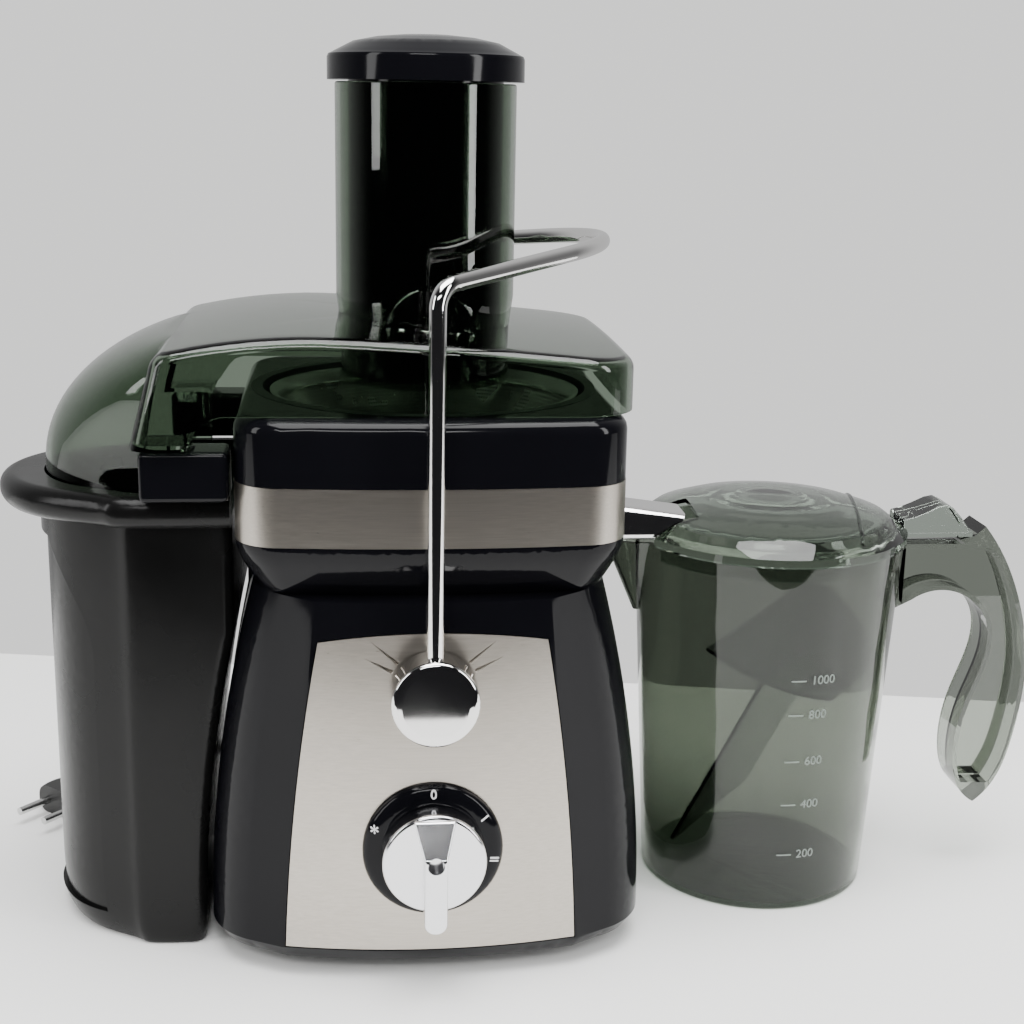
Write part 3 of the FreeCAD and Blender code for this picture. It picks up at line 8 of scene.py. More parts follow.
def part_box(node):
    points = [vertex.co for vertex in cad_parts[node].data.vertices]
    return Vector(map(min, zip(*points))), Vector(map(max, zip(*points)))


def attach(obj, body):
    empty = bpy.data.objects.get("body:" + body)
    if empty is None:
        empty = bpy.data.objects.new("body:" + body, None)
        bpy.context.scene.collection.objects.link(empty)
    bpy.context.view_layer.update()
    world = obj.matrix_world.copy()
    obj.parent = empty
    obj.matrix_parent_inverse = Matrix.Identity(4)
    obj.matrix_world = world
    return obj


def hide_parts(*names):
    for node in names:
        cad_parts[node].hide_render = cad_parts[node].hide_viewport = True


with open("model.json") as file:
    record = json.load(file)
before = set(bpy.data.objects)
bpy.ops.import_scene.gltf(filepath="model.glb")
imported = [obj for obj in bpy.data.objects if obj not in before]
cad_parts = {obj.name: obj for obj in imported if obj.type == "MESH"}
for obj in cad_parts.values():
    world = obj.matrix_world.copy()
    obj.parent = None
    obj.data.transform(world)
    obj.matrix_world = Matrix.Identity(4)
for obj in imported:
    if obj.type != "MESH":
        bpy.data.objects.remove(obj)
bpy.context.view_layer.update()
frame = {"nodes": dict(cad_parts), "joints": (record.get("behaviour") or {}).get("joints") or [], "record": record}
cadNodes = frame["nodes"]
bodyOf = {node: body for body, members in frame["record"]["behaviour"]["bodies"].items() for node in members}
slotOf = {row["node"]: row["material_slot"] for row in frame["record"]["subparts"]}
spinAxis = [joint for joint in frame["joints"] if joint["name"] == "basket_spin"][0]["pos_m"]
axisX, axisY = spinAxis[0], spinAxis[1]
print("frame loaded:", len(cadNodes), "nodes, motor axis at", round(axisX, 4), round(axisY, 4))


mergeGap = 0.000002


def place(x, y, z):
    # millimetres from the motor's axis: right, back, and up from the floor
    return Vector((axisX + x / 1000.0, axisY + y / 1000.0, z / 1000.0))


def setMode(mode):
    bpy.ops.object.mode_set(mode=mode)


def clearSelection():
    if bpy.context.object is not None and bpy.context.object.mode != "OBJECT":
        setMode("OBJECT")
    bpy.ops.object.select_all(action="DESELECT")


def pick(obj):
    clearSelection()
    obj.select_set(True)
    bpy.context.view_layer.objects.active = obj


def applyModifier(obj, kind, **settings):
    pick(obj)
    modifier = obj.modifiers.new(kind.lower(), kind)
    for key, value in settings.items():
        setattr(modifier, key, value)
    bpy.ops.object.modifier_apply(modifier=modifier.name)


def bevelEdges(obj, width, segments, angle=30):
    applyModifier(obj, "BEVEL", width=width, segments=segments, limit_method="ANGLE",
                  angle_limit=math.radians(angle))


def newObject(name, data):
    obj = bpy.data.objects.new(name, data)
    bpy.context.scene.collection.objects.link(obj)
    return obj


def settle(obj):
    # puts the place into the mesh, so the object sits at the origin
    pick(obj)
    bpy.ops.object.transform_apply(location=True, rotation=True, scale=True)


def shadeByAngle(obj, degrees):
    pick(obj)
    bpy.ops.object.shade_smooth_by_angle(angle=math.radians(degrees))


def joinPieces(name, parts):
    clearSelection()
    for part in parts:
        part.select_set(True)
    bpy.context.view_layer.objects.active = parts[0]
    if len(parts) > 1:
        bpy.ops.object.join()
    parts[0].name = name
    return parts[0]


def combine(obj, other, operation):
    applyModifier(obj, "BOOLEAN", operation=operation, object=other, solver="EXACT")
    bpy.data.objects.remove(other)


def roundTube(name, route, radius, resolution, roundness):
    # a round tube through places, as a curve object
    curve = bpy.data.curves.new(name, "CURVE")
    curve.dimensions = "3D"
    spline = curve.splines.new("NURBS")
    spline.points.add(len(route) - 1)
    for knot, spot in zip(spline.points, route):
        knot.co = (*spot, 1.0)
    spline.order_u = 3
    spline.use_endpoint_u = True
    curve.resolution_u = resolution
    curve.bevel_depth = radius
    curve.bevel_resolution = roundness
    curve.use_fill_caps = True
    return newObject(name, curve)


def raisedWord(word, size, depth, thicker, centred):
    # a word as a mesh, lying flat
    clearSelection()
    bpy.ops.object.text_add()
    text = bpy.context.object.data
    text.body = word
    text.size = size
    if centred:
        text.align_x = "CENTER"
    text.align_y = "CENTER"
    text.extrude = depth
    text.offset = thicker
    bpy.ops.object.convert(target="MESH")
    return bpy.context.object


def selectNone(kind):
    # nothing picked, and the given kind of element as the one picked next
    setMode("EDIT")
    bpy.ops.mesh.select_mode(type=kind)
    bpy.ops.mesh.select_all(action="DESELECT")
    setMode("OBJECT")


def meshTree(name):
    mesh = bpy.data.objects[name].data
    return BVHTree.FromPolygons([vertex.co for vertex in mesh.vertices],
                                [face.vertices for face in mesh.polygons])


def finishPiece(obj, name, body, finish, replaced=(), angle=35):
    obj.name = name
    obj.data.materials.clear()
    obj.data.materials.append(finishes[finish])
    if obj.type == "MESH" and angle is not None:
        shadeByAngle(obj, angle)
        applyModifier(obj, "WEIGHTED_NORMAL", keep_sharp=True, weight=60)
    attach(obj, body)
    if replaced:
        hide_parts(*replaced)
    return obj


def cadCopy(node, keep=0.0):
    # a merged copy of a CAD node's mesh, ready to be finished
    source = cadNodes[node]
    obj = source.copy()
    obj.data = source.data.copy()
    for key in list(obj.keys()):
        del obj[key]
    obj.parent = None
    obj.hide_render = False
    obj.hide_viewport = False
    bpy.context.scene.collection.objects.link(obj)
    pick(obj)
    setMode("EDIT")
    bpy.ops.mesh.select_all(action="SELECT")
    bpy.ops.mesh.remove_doubles(threshold=mergeGap)
    if keep:
        bpy.ops.mesh.dissolve_limited(angle_limit=math.radians(keep))
    setMode("OBJECT")
    if obj.data.has_custom_normals:
        bpy.ops.mesh.customdata_custom_splitnormals_clear()
    return obj


# ---- finishes

def socket(group, name, way, kind="NodeSocketFloat", value=None):
    made = group.interface.new_socket(name=name, in_out=way, socket_type=kind)
    if value is not None:
        made.default_value = value


def wire(links, source, way, target, into):
    links.new(source.outputs[way], target.inputs[into])


def setInput(node, name, value):
    node.inputs[name].default_value = value


def speckleGroup():
    # fine moulding texture: a roughness that drifts and a small height
    group = bpy.data.node_groups.new("mouldingTexture", "ShaderNodeTree")
    socket(group, "Patch Scale", "INPUT", value=30.0)
    socket(group, "Grain Scale", "INPUT", value=900.0)
    socket(group, "Low Roughness", "INPUT", value=0.1)
    socket(group, "High Roughness", "INPUT", value=0.2)
    socket(group, "Roughness", "OUTPUT")
    socket(group, "Height", "OUTPUT")
    nodes, links = group.nodes, group.links
    given = nodes.new("NodeGroupInput")
    made = nodes.new("NodeGroupOutput")
    coords = nodes.new("ShaderNodeTexCoord")
    patches = nodes.new("ShaderNodeTexNoise")
    setInput(patches, "Detail", 4.0)
    grain = nodes.new("ShaderNodeTexNoise")
    setInput(grain, "Detail", 2.0)
    span = nodes.new("ShaderNodeMapRange")
    setInput(span, "From Min", 0.3)
    setInput(span, "From Max", 0.7)
    wire(links, coords, "Object", patches, "Vector")
    wire(links, coords, "Object", grain, "Vector")
    wire(links, given, "Patch Scale", patches, "Scale")
    wire(links, given, "Grain Scale", grain, "Scale")
    wire(links, patches, "Fac", span, "Value")
    wire(links, given, "Low Roughness", span, "To Min")
    wire(links, given, "High Roughness", span, "To Max")
    wire(links, span, "Result", made, "Roughness")
    wire(links, grain, "Fac", made, "Height")
    return group


def brushGroup():
    # long fine streaks along X, as a belt leaves them
    group = bpy.data.node_groups.new("beltStreaks", "ShaderNodeTree")
    socket(group, "Stretch", "INPUT", "NodeSocketVector", (6.0, 900.0, 900.0))
    socket(group, "Dark Colour", "INPUT", "NodeSocketColor", (0.4, 0.4, 0.4, 1.0))
    socket(group, "Light Colour", "INPUT", "NodeSocketColor", (0.7, 0.7, 0.7, 1.0))
    socket(group, "Low Roughness", "INPUT", value=0.25)
    socket(group, "High Roughness", "INPUT", value=0.4)
    socket(group, "Colour", "OUTPUT", "NodeSocketColor")
    socket(group, "Roughness", "OUTPUT")
    socket(group, "Height", "OUTPUT")
    nodes, links = group.nodes, group.links
    given = nodes.new("NodeGroupInput")
    made = nodes.new("NodeGroupOutput")
    coords = nodes.new("ShaderNodeTexCoord")
    scaled = nodes.new("ShaderNodeVectorMath")
    scaled.operation = "MULTIPLY"
    streaks = nodes.new("ShaderNodeTexNoise")
    setInput(streaks, "Scale", 1.0)
    setInput(streaks, "Detail", 6.0)
    setInput(streaks, "Roughness", 0.6)
    clouds = nodes.new("ShaderNodeTexNoise")
    setInput(clouds, "Scale", 14.0)
    blend = nodes.new("ShaderNodeMath")
    blend.operation = "MULTIPLY_ADD"
    setInput(blend, 1, 0.25)
    tint = nodes.new("ShaderNodeMix")
    tint.data_type = "RGBA"
    span = nodes.new("ShaderNodeMapRange")
    wire(links, coords, "Object", scaled, 0)
    wire(links, given, "Stretch", scaled, 1)
    wire(links, scaled, "Vector", streaks, "Vector")
    wire(links, coords, "Object", clouds, "Vector")
    wire(links, clouds, "Fac", blend, 0)
    wire(links, streaks, "Fac", blend, 2)
    wire(links, blend, "Value", tint, "Factor")
    wire(links, given, "Dark Colour", tint, "A")
    wire(links, given, "Light Colour", tint, "B")
    wire(links, streaks, "Fac", span, "Value")
    wire(links, given, "Low Roughness", span, "To Min")
    wire(links, given, "High Roughness", span, "To Max")
    wire(links, tint, "Result", made, "Colour")
    wire(links, span, "Result", made, "Roughness")
    wire(links, streaks, "Fac", made, "Height")
    return group


mouldingTexture = speckleGroup()
beltStreaks = brushGroup()


def newMaterial(name):
    material = bpy.data.materials.new(name)
    material.use_nodes = True
    nodes, links = material.node_tree.nodes, material.node_tree.links
    return material, nodes, links, nodes["Principled BSDF"]


def addBump(nodes, links, shader, height, strength, distance):
    bump = nodes.new("ShaderNodeBump")
    setInput(bump, "Strength", strength)
    setInput(bump, "Distance", distance)
    links.new(height, bump.inputs["Height"])
    wire(links, bump, "Normal", shader, "Normal")


def colourDrift(nodes, links, shader, low, high, scale):
    # a slow change of tone over the surface
    coords = nodes.new("ShaderNodeTexCoord")
    noise = nodes.new("ShaderNodeTexNoise")
    setInput(noise, "Scale", scale)
    setInput(noise, "Detail", 3.0)
    tone = nodes.new("ShaderNodeMix")
    tone.data_type = "RGBA"
    setInput(tone, "A", (*low, 1.0))
    setInput(tone, "B", (*high, 1.0))
    wire(links, coords, "Object", noise, "Vector")
    wire(links, noise, "Fac", tone, "Factor")
    wire(links, tone, "Result", shader, "Base Color")


def addMoulding(nodes, links, shader, roughness, patch=30.0, grain=900.0):
    texture = nodes.new("ShaderNodeGroup")
    texture.node_tree = mouldingTexture
    setInput(texture, "Patch Scale", patch)
    setInput(texture, "Grain Scale", grain)
    setInput(texture, "Low Roughness", roughness[0])
    setInput(texture, "High Roughness", roughness[1])
    wire(links, texture, "Roughness", shader, "Roughness")
    return texture


def plasticFinish(name, low, high, roughness, grain=900.0, depth=0.00002, specular=0.5, metallic=0.0,
                  patch=30.0, strength=0.25):
    material, nodes, links, shader = newMaterial(name)
    texture = addMoulding(nodes, links, shader, roughness, patch, grain)
    addBump(nodes, links, shader, texture.outputs["Height"], strength, depth)
    colourDrift(nodes, links, shader, low, high, patch)
    setInput(shader, "Metallic", metallic)
    setInput(shader, "Specular IOR Level", specular)
    return material


def brushedFinish(name, dark, light, roughness, stretch, strength=0.18):
    material, nodes, links, shader = newMaterial(name)
    streaks = nodes.new("ShaderNodeGroup")
    streaks.node_tree = beltStreaks
    setInput(streaks, "Stretch", stretch)
    setInput(streaks, "Dark Colour", (*dark, 1.0))
    setInput(streaks, "Light Colour", (*light, 1.0))
    setInput(streaks, "Low Roughness", roughness[0])
    setInput(streaks, "High Roughness", roughness[1])
    wire(links, streaks, "Colour", shader, "Base Color")
    wire(links, streaks, "Roughness", shader, "Roughness")
    addBump(nodes, links, shader, streaks.outputs["Height"], strength, 0.00003)
    setInput(shader, "Metallic", 1.0)
    return material


clearLook = {"roughness": (0.0, 0.012), "patch": 18.0, "grain": 60.0, "ripple": 0.012, "rippleDepth": 0.0001,
             "drift": 12.0, "bending": 1.45}


def clearFinish(name, low, high, shade):
    # see-through plastic: lamps pass it with its own tint
    material, nodes, links, shader = newMaterial(name)
    look = clearLook
    texture = addMoulding(nodes, links, shader, look["roughness"], look["patch"], look["grain"])
    addBump(nodes, links, shader, texture.outputs["Height"], look["ripple"], look["rippleDepth"])
    colourDrift(nodes, links, shader, low, high, look["drift"])
    setInput(shader, "Transmission Weight", 1.0)
    setInput(shader, "IOR", look["bending"])
    through = nodes.new("ShaderNodeBsdfTransparent")
    setInput(through, "Color", (*shade, 1.0))
    rays = nodes.new("ShaderNodeLightPath")
    mix = nodes.new("ShaderNodeMixShader")
    wire(links, rays, "Is Shadow Ray", mix, "Fac")
    wire(links, shader, "BSDF", mix, 1)
    wire(links, through, "BSDF", mix, 2)
    links.new(mix.outputs["Shader"], nodes["Material Output"].inputs["Surface"])
    return material


def sieveFinish(name, settings):
    # bright steel with rows of small holes round the motor's axis; the holes are not cut but painted near-black as
    # painted shade
    material, nodes, links, shader = newMaterial(name)
    coords = nodes.new("ShaderNodeTexCoord")
    centred = nodes.new("ShaderNodeMapping")
    setInput(centred, "Location", (-axisX, -axisY, 0.0))
    parts = nodes.new("ShaderNodeSeparateXYZ")
    wire(links, coords, "Object", centred, "Vector")
    wire(links, centred, "Vector", parts, "Vector")

    def maths(operation, first, second=None):
        node = nodes.new("ShaderNodeMath")
        node.operation = operation
        for slot, value in enumerate((first, second)):
            if value is None:
                continue
            if isinstance(value, (int, float)):
                setInput(node, slot, value)
            else:
                links.new(value, node.inputs[slot])
        return node.outputs["Value"]

    turn = maths("DIVIDE", maths("ARCTAN2", parts.outputs["Y"], parts.outputs["X"]), 2 * math.pi)
    column = maths("MULTIPLY", turn, settings["columns"])
    row = maths("DIVIDE", parts.outputs["Z"], settings["rowHeight"])
    across = maths("SUBTRACT", maths("FRACT", column), 0.5)
    up = maths("SUBTRACT", maths("FRACT", row), 0.5)
    reach = maths("SQRT", maths("ADD", maths("MULTIPLY", across, across), maths("MULTIPLY", up, up)))
    hole = maths("LESS_THAN", reach, settings["holeSize"])
    tone = nodes.new("ShaderNodeMix")
    tone.data_type = "RGBA"
    setInput(tone, "A", (*settings["steel"], 1.0))
    # painted shade: each hole is coloured near-black to stand for the dark seen through it
    setInput(tone, "B", (0.01, 0.01, 0.01, 1.0))
    links.new(hole, tone.inputs["Factor"])
    wire(links, tone, "Result", shader, "Base Color")
    addMoulding(nodes, links, shader, settings["roughness"])
    addBump(nodes, links, shader, maths("SUBTRACT", 1.0, hole), 0.5, 0.0003)
    setInput(shader, "Metallic", 1.0)
    return material


finishes = {
    "glossBlack": plasticFinish("glossBlackPlastic", (0.0020, 0.0020, 0.0028), (0.0035, 0.0035, 0.0048),
                                (0.07, 0.12), 220.0, 0.00003, 0.17, strength=0.12),
    "containerBlack": plasticFinish("containerBlackPlastic", (0.0028, 0.0028, 0.0028),
                                    (0.0045, 0.0045, 0.0045), (0.20, 0.30), 700.0, 0.00003, 0.20),
    "satinBlack": plasticFinish("satinBlackPlastic", (0.014, 0.014, 0.015), (0.022, 0.022, 0.023),
                                (0.38, 0.5)),
    "rubber": plasticFinish("softBlackRubber", (0.012, 0.012, 0.012), (0.02, 0.02, 0.02), (0.55, 0.7)),
    "cord": plasticFinish("leadCoverBlack", (0.011, 0.011, 0.011), (0.017, 0.017, 0.017), (0.4, 0.52)),
    "zinc": plasticFinish("zincPlate", (0.5, 0.5, 0.52), (0.62, 0.62, 0.63), (0.28, 0.4), metallic=1.0),
    "steel": brushedFinish("brushedFrontSteel", (0.37, 0.335, 0.295), (0.55, 0.51, 0.455), (0.24, 0.36),
                           (4.0, 1400.0, 1400.0)),
    "sieve": sieveFinish("sieveSteel", {"columns": 300.0, "rowHeight": 0.0016, "holeSize": 0.28,
                                        "steel": (0.55, 0.55, 0.54), "roughness": (0.2, 0.32)}),
    "brightSteel": plasticFinish("turnedSteel", (0.55, 0.55, 0.55), (0.66, 0.66, 0.65), (0.16, 0.26),
                                 metallic=1.0),
    "lamination": brushedFinish("stackedLaminations", (0.12, 0.12, 0.125), (0.26, 0.26, 0.27),
                                (0.45, 0.6), (60.0, 60.0, 2000.0), 0.5),
    "copper": brushedFinish("enamelledCopper", (0.42, 0.16, 0.07), (0.75, 0.33, 0.16), (0.25, 0.4),
                            (60.0, 60.0, 1400.0), 0.6),
    "bronze": plasticFinish("sinteredBronze", (0.42, 0.27, 0.12), (0.55, 0.36, 0.17), (0.4, 0.55),
                            metallic=1.0),
    "carbon": plasticFinish("carbonBlock", (0.03, 0.03, 0.03), (0.06, 0.06, 0.06), (0.6, 0.75)),
    "chrome": plasticFinish("mirrorChrome", (0.78, 0.77, 0.76), (0.84, 0.83, 0.82), (0.03, 0.07), 60.0,
                            0.00001, metallic=1.0, strength=0.06),
    "knobChrome": plasticFinish("satinChrome", (0.80, 0.80, 0.82), (0.88, 0.88, 0.90), (0.12, 0.2), 90.0,
                                0.00001, metallic=1.0, strength=0.08),
    "print": plasticFinish("dialPrint", (0.55, 0.55, 0.56), (0.7, 0.7, 0.7), (0.45, 0.55)),
    "mark": plasticFinish("mouldedMark", (0.16, 0.19, 0.17), (0.22, 0.25, 0.23), (0.3, 0.4)),
    "lidSmoke": clearFinish("smokyLidPlastic", (0.26, 0.325, 0.255), (0.30, 0.37, 0.29),
                            (0.30, 0.38, 0.30)),
    "jugSmoke": clearFinish("jugSmokePlastic", (0.255, 0.28, 0.24), (0.29, 0.32, 0.275),
                            (0.46, 0.51, 0.46)),
    "frothSmoke": clearFinish("frothSmokePlastic", (0.16, 0.19, 0.16), (0.20, 0.235, 0.20),
                              (0.36, 0.42, 0.36)),
    "jugLidSmoke": clearFinish("jugLidSmokePlastic", (0.44, 0.50, 0.44), (0.49, 0.55, 0.49),
                               (0.55, 0.62, 0.56)),
}
finishOfSlot = {
    "black_gloss": "glossBlack", "satin_black": "satinBlack", "feet_rubber": "rubber", "cord_black": "cord",
    "zinc_steel": "zinc", "brushed_band": "steel", "basket_steel": "brightSteel", "lamination": "lamination",
    "copper": "copper", "bronze": "bronze", "carbon": "carbon", "mirror_chrome": "chrome",
    "satin_chrome": "knobChrome", "smoke_clear": "jugSmoke"}
for node, obj in cadNodes.items():
    obj.data.materials.clear()
    obj.data.materials.append(finishes[finishOfSlot[slotOf[node]]])
print("finishes made:", len(finishes))

# ---- camera and stage

camera = {"eye": (-35.8, -728.0, 372.0), "down": 14.21, "yaw": 6.04, "roll": 1.09, "lens": 56.78}


def addCamera(settings):
    down, yaw, roll = (math.radians(settings[key]) for key in ("down", "yaw", "roll"))
    ahead = Vector((math.sin(yaw) * math.cos(down), math.cos(yaw) * math.cos(down), -math.sin(down)))
    level = Vector((math.cos(yaw), -math.sin(yaw), 0.0))
    upright = level.cross(ahead)
    right = level * math.cos(roll) + upright * math.sin(roll)
    up = upright * math.cos(roll) - level * math.sin(roll)
    lensData = bpy.data.cameras.new("viewCamera")
    lensData.lens = settings["lens"]
    lensData.sensor_width = 36.0
    obj = newObject("viewCamera", lensData)
    turn = Matrix((right, up, -ahead)).transposed().to_4x4()
    obj.matrix_world = Matrix.Translation(place(*settings["eye"])) @ turn
    bpy.context.scene.camera = obj


addCamera(camera)

stage = {"width": 3.2, "frontEdge": -438.0, "backEdge": 302.0, "backSlope": -0.19, "edgeRadius": 0.004,
         "thickness": 0.03}


def addStage(settings):
    clearSelection()
    front, back = (place(0, settings[key], 0).y for key in ("frontEdge", "backEdge"))
    bpy.ops.mesh.primitive_plane_add(size=1.0, location=(0, (front + back) / 2, 0))
    floor = bpy.context.object
    floor.scale = (settings["width"], back - front, 1.0)
    settle(floor)
    for vertex in floor.data.vertices:
        if vertex.co.y > back - 0.001:
            # the back edge runs a little askew
            vertex.co.y += settings["backSlope"] * (vertex.co.x - axisX)
    applyModifier(floor, "SOLIDIFY", thickness=settings["thickness"], offset=-1.0)
    bevelEdges(floor, settings["edgeRadius"], 3)
    floor.name = "studioFloor"
    floor.data.materials.append(stageFinish())
    shadeByAngle(floor, 60)


def stageFinish():
    material, nodes, links, shader = newMaterial("paleStage")
    colourDrift(nodes, links, shader, (0.86, 0.86, 0.85), (0.90, 0.90, 0.89), 1.5)
    setInput(shader, "Roughness", 0.55)
    return material


addStage(stage)

lamps = [
    {"name": "overhead", "at": (100, -250, 1500), "aim": (0, 0, 100), "size": (1300, 900), "power": 40.0},
    {"name": "rightStrip", "at": (1100, -700, 620), "aim": (0, 0, 200), "size": (240, 1000), "power": 9.0},
    {"name": "leftStrip", "at": (-1200, -500, 700), "aim": (0, 0, 200), "size": (300, 900), "power": 6.0},
    {"name": "frontTop", "at": (-150, -1300, 1100), "aim": (0, 0, 150), "size": (700, 200), "power": 6.0},
]


def addLamp(settings):
    data = bpy.data.lights.new(settings["name"], "AREA")
    data.shape = "RECTANGLE"
    data.size, data.size_y = (length / 1000.0 for length in settings["size"])
    data.energy = settings["power"]
    obj = newObject(settings["name"], data)
    obj.location = place(*settings["at"])
    obj.rotation_euler = (place(*settings["aim"]) - obj.location).to_track_quat("-Z", "Y").to_euler()


for lamp in lamps:
    addLamp(lamp)

room = {"pale": (0.86, 0.86, 0.85), "paleStrength": 1.3, "towardsWall": (0.80, 0.80, 0.80),
        "towardsRoom": (0.02, 0.02, 0.022), "reflectedStrength": 0.8}


def addRoomLight(settings):
    # pale all round, but what shines back from a glossy face is bright behind the object and dark before it
    world = bpy.data.worlds.new("studioRoom")
    world.use_nodes = True
    nodes, links = world.node_tree.nodes, world.node_tree.links
    coords = nodes.new("ShaderNodeTexCoord")
    parts = nodes.new("ShaderNodeSeparateXYZ")
    span = nodes.new("ShaderNodeMapRange")
    span.interpolation_type = "SMOOTHSTEP"
    setInput(span, "From Min", -0.25)
    setInput(span, "From Max", 0.7)
    tone = nodes.new("ShaderNodeMix")
    tone.data_type = "RGBA"
    setInput(tone, "A", (*settings["towardsRoom"], 1.0))
    setInput(tone, "B", (*settings["towardsWall"], 1.0))
    wire(links, coords, "Generated", parts, "Vector")
    wire(links, parts, "Y", span, "Value")
    wire(links, span, "Result", tone, "Factor")
    reflected = nodes.new("ShaderNodeBackground")
    setInput(reflected, "Strength", settings["reflectedStrength"])
    wire(links, tone, "Result", reflected, "Color")
    pale = nodes["Background"]
    setInput(pale, "Color", (*settings["pale"], 1.0))
    setInput(pale, "Strength", settings["paleStrength"])
    rays = nodes.new("ShaderNodeLightPath")
    mix = nodes.new("ShaderNodeMixShader")
    wire(links, rays, "Is Glossy Ray", mix, "Fac")
    wire(links, pale, "Background", mix, 1)
    wire(links, reflected, "Background", mix, 2)
    links.new(mix.outputs["Shader"], nodes["World Output"].inputs["Surface"])
    bpy.context.scene.world = world


addRoomLight(room)
print("camera, stage and lamps placed")

# ---- mains lead and plug

lead = {
    "thickness": 6.4, "length": 1.15,
    "fromBase": [(62, 122, 17), (62, 139, 16.4), (59.5, 155, 12.0), (48, 170, 6.8), (29, 178.4, 3.6),
                 (7, 179.9, 3.2)],
    "toPlug": [(-34, 179.0, 9.4), (-62, 177, 6.2), (-92, 170, 3.6), (-120, 155, 3.2), (-142, 136, 4.4),
               (-158.9, 116.5, 7.6)],
    "coilAt": (-14.0, 141.0), "turns": [(38.6, 3.2), (32.2, 3.2), (32.2, 9.6), (38.6, 9.6)], "perTurn": 16,
    "easeFrom": 0.7, "easeSpan": 0.3}


def coilPoints(settings):
    points = []
    turns, count = settings["turns"], settings["perTurn"]
    centreX, centreY = settings["coilAt"]
    for step in range(len(turns) * count + 1):
        turn = min(step // count, len(turns) - 1)
        share = step / count - turn
        after = turns[min(turn + 1, len(turns) - 1)]
        ease = 0.0
        if turn < len(turns) - 1:
            ease = max(0.0, (share - settings["easeFrom"]) / settings["easeSpan"])
        radius = turns[turn][0] + (after[0] - turns[turn][0]) * ease
        height = turns[turn][1] + (after[1] - turns[turn][1]) * ease
        angle = math.radians(90.0 + 360.0 * step / count)
        points.append((centreX + radius * math.cos(angle), centreY + radius * math.sin(angle), height))
    return points


def addLead(settings):
    route = settings["fromBase"] + coilPoints(settings) + settings["toPlug"]
    obj = roundTube("mainsLead", [place(*spot) for spot in route], settings["thickness"] / 2000.0, 6, 4)
    return finishPiece(obj, "mainsLead", "base", "cord",
                       ("mains_lead", "lead_coil", "lead_tail"), None)


relief = {"start": (62, 90, 17), "length": 32.0, "wide": 6.4, "narrow": 4.2, "ribs": 6, "ribDepth": 0.8,
          "beforeRibs": 0.8, "pastRibs": 0.6, "edge": 0.7}


def addRelief(settings):
    clearSelection()
    middle = place(*settings["start"]) + Vector((0, settings["length"] / 2000.0, 0))
    bpy.ops.mesh.primitive_cone_add(vertices=40, radius1=settings["wide"] / 1000.0,
                                    radius2=settings["narrow"] / 1000.0, depth=settings["length"] / 1000.0,
                                    location=middle, rotation=(math.radians(-90), 0, 0))
    cone = bpy.context.object
    bevelEdges(cone, settings["edge"] / 1000.0, 3)
    parts = [cone]
    for number in range(settings["ribs"]):
        share = (number + settings["beforeRibs"]) / (settings["ribs"] + settings["pastRibs"])
        radius = settings["wide"] + (settings["narrow"] - settings["wide"]) * share
        at = place(*settings["start"]) + Vector((0, settings["length"] * share / 1000.0, 0))
        bpy.ops.mesh.primitive_torus_add(major_segments=40, minor_segments=10, location=at,
                                         rotation=(math.radians(90), 0, 0), major_radius=radius / 1000.0,
                                         minor_radius=settings["ribDepth"] / 1000.0)
        parts.append(bpy.context.object)
    for part in parts:
        settle(part)
    obj = joinPieces("strainRelief", parts)
    collarPart = cadCopy("strain_relief")
    obj = joinPieces("strainRelief", [obj, collarPart])
    return finishPiece(obj, "strainRelief", "base", "rubber", ("strain_relief",), 40)


plug = {"axis": (-0.65, -0.76, 0.0), "firstRidge": 7.5, "ridges": 4, "ridgeGap": 3.4,
        "ridgeRadius": 0.0052, "ridgeGrowth": 0.0005, "ridgeThickness": 0.0009}


def addPlug(settings):
    body = cadCopy("plug_body")
    heading = Vector(settings["axis"]).normalized()
    tail = place(*lead["toPlug"][-1])
    turn = heading.to_track_quat("Z", "Y").to_euler()
    for number in range(settings["ridges"]):
        clearSelection()
        back = (settings["firstRidge"] + number * settings["ridgeGap"]) / 1000.0
        radius = settings["ridgeRadius"] + settings["ridgeGrowth"] * number
        bpy.ops.mesh.primitive_torus_add(major_segments=48, minor_segments=10, location=tail + heading * back,
                                         rotation=turn, major_radius=radius,
                                         minor_radius=settings["ridgeThickness"])
        ring = bpy.context.object
        settle(ring)
        body = joinPieces("plugBody", [body, ring])
    obj = finishPiece(body, "plugBody", "base", "cord", ("plug_body",), 40)
    pins = cadCopy("plug_pins")
    finishPiece(pins, "plugPins", "base", "brightSteel", ("plug_pins",), 40)
    return obj, pins


mainsLead = addLead(lead)
strainRelief = addRelief(relief)
plugBody, plugPins = addPlug(plug)
print("lead and plug placed")

# ---- base housing, its feet and the steel front plate

def finishCopy(node, name, finish, angle, width=0.0, flat=0.0):
    # a merged copy of a CAD node, with its hard edges taken off where a width is given
    obj = cadCopy(node, keep=flat)
    if width:
        bevelEdges(obj, width / 1000.0, 2)
    return finishPiece(obj, name, bodyOf[node], finish, (node,), angle)


finishCopy("base_housing", "baseShell", "glossBlack", 30)
finishCopy("rubber_feet", "standFeet", "rubber", 35, 0.6, 0.8)

fasciaRays = {"pivotHeight": 133.3, "fromRadius": 19.5, "toRadius": 36.0, "angles": (50, 63, -50, -63),
              "cutterHalf": 1.35, "depth": 0.42, "plateBow": 296.0}


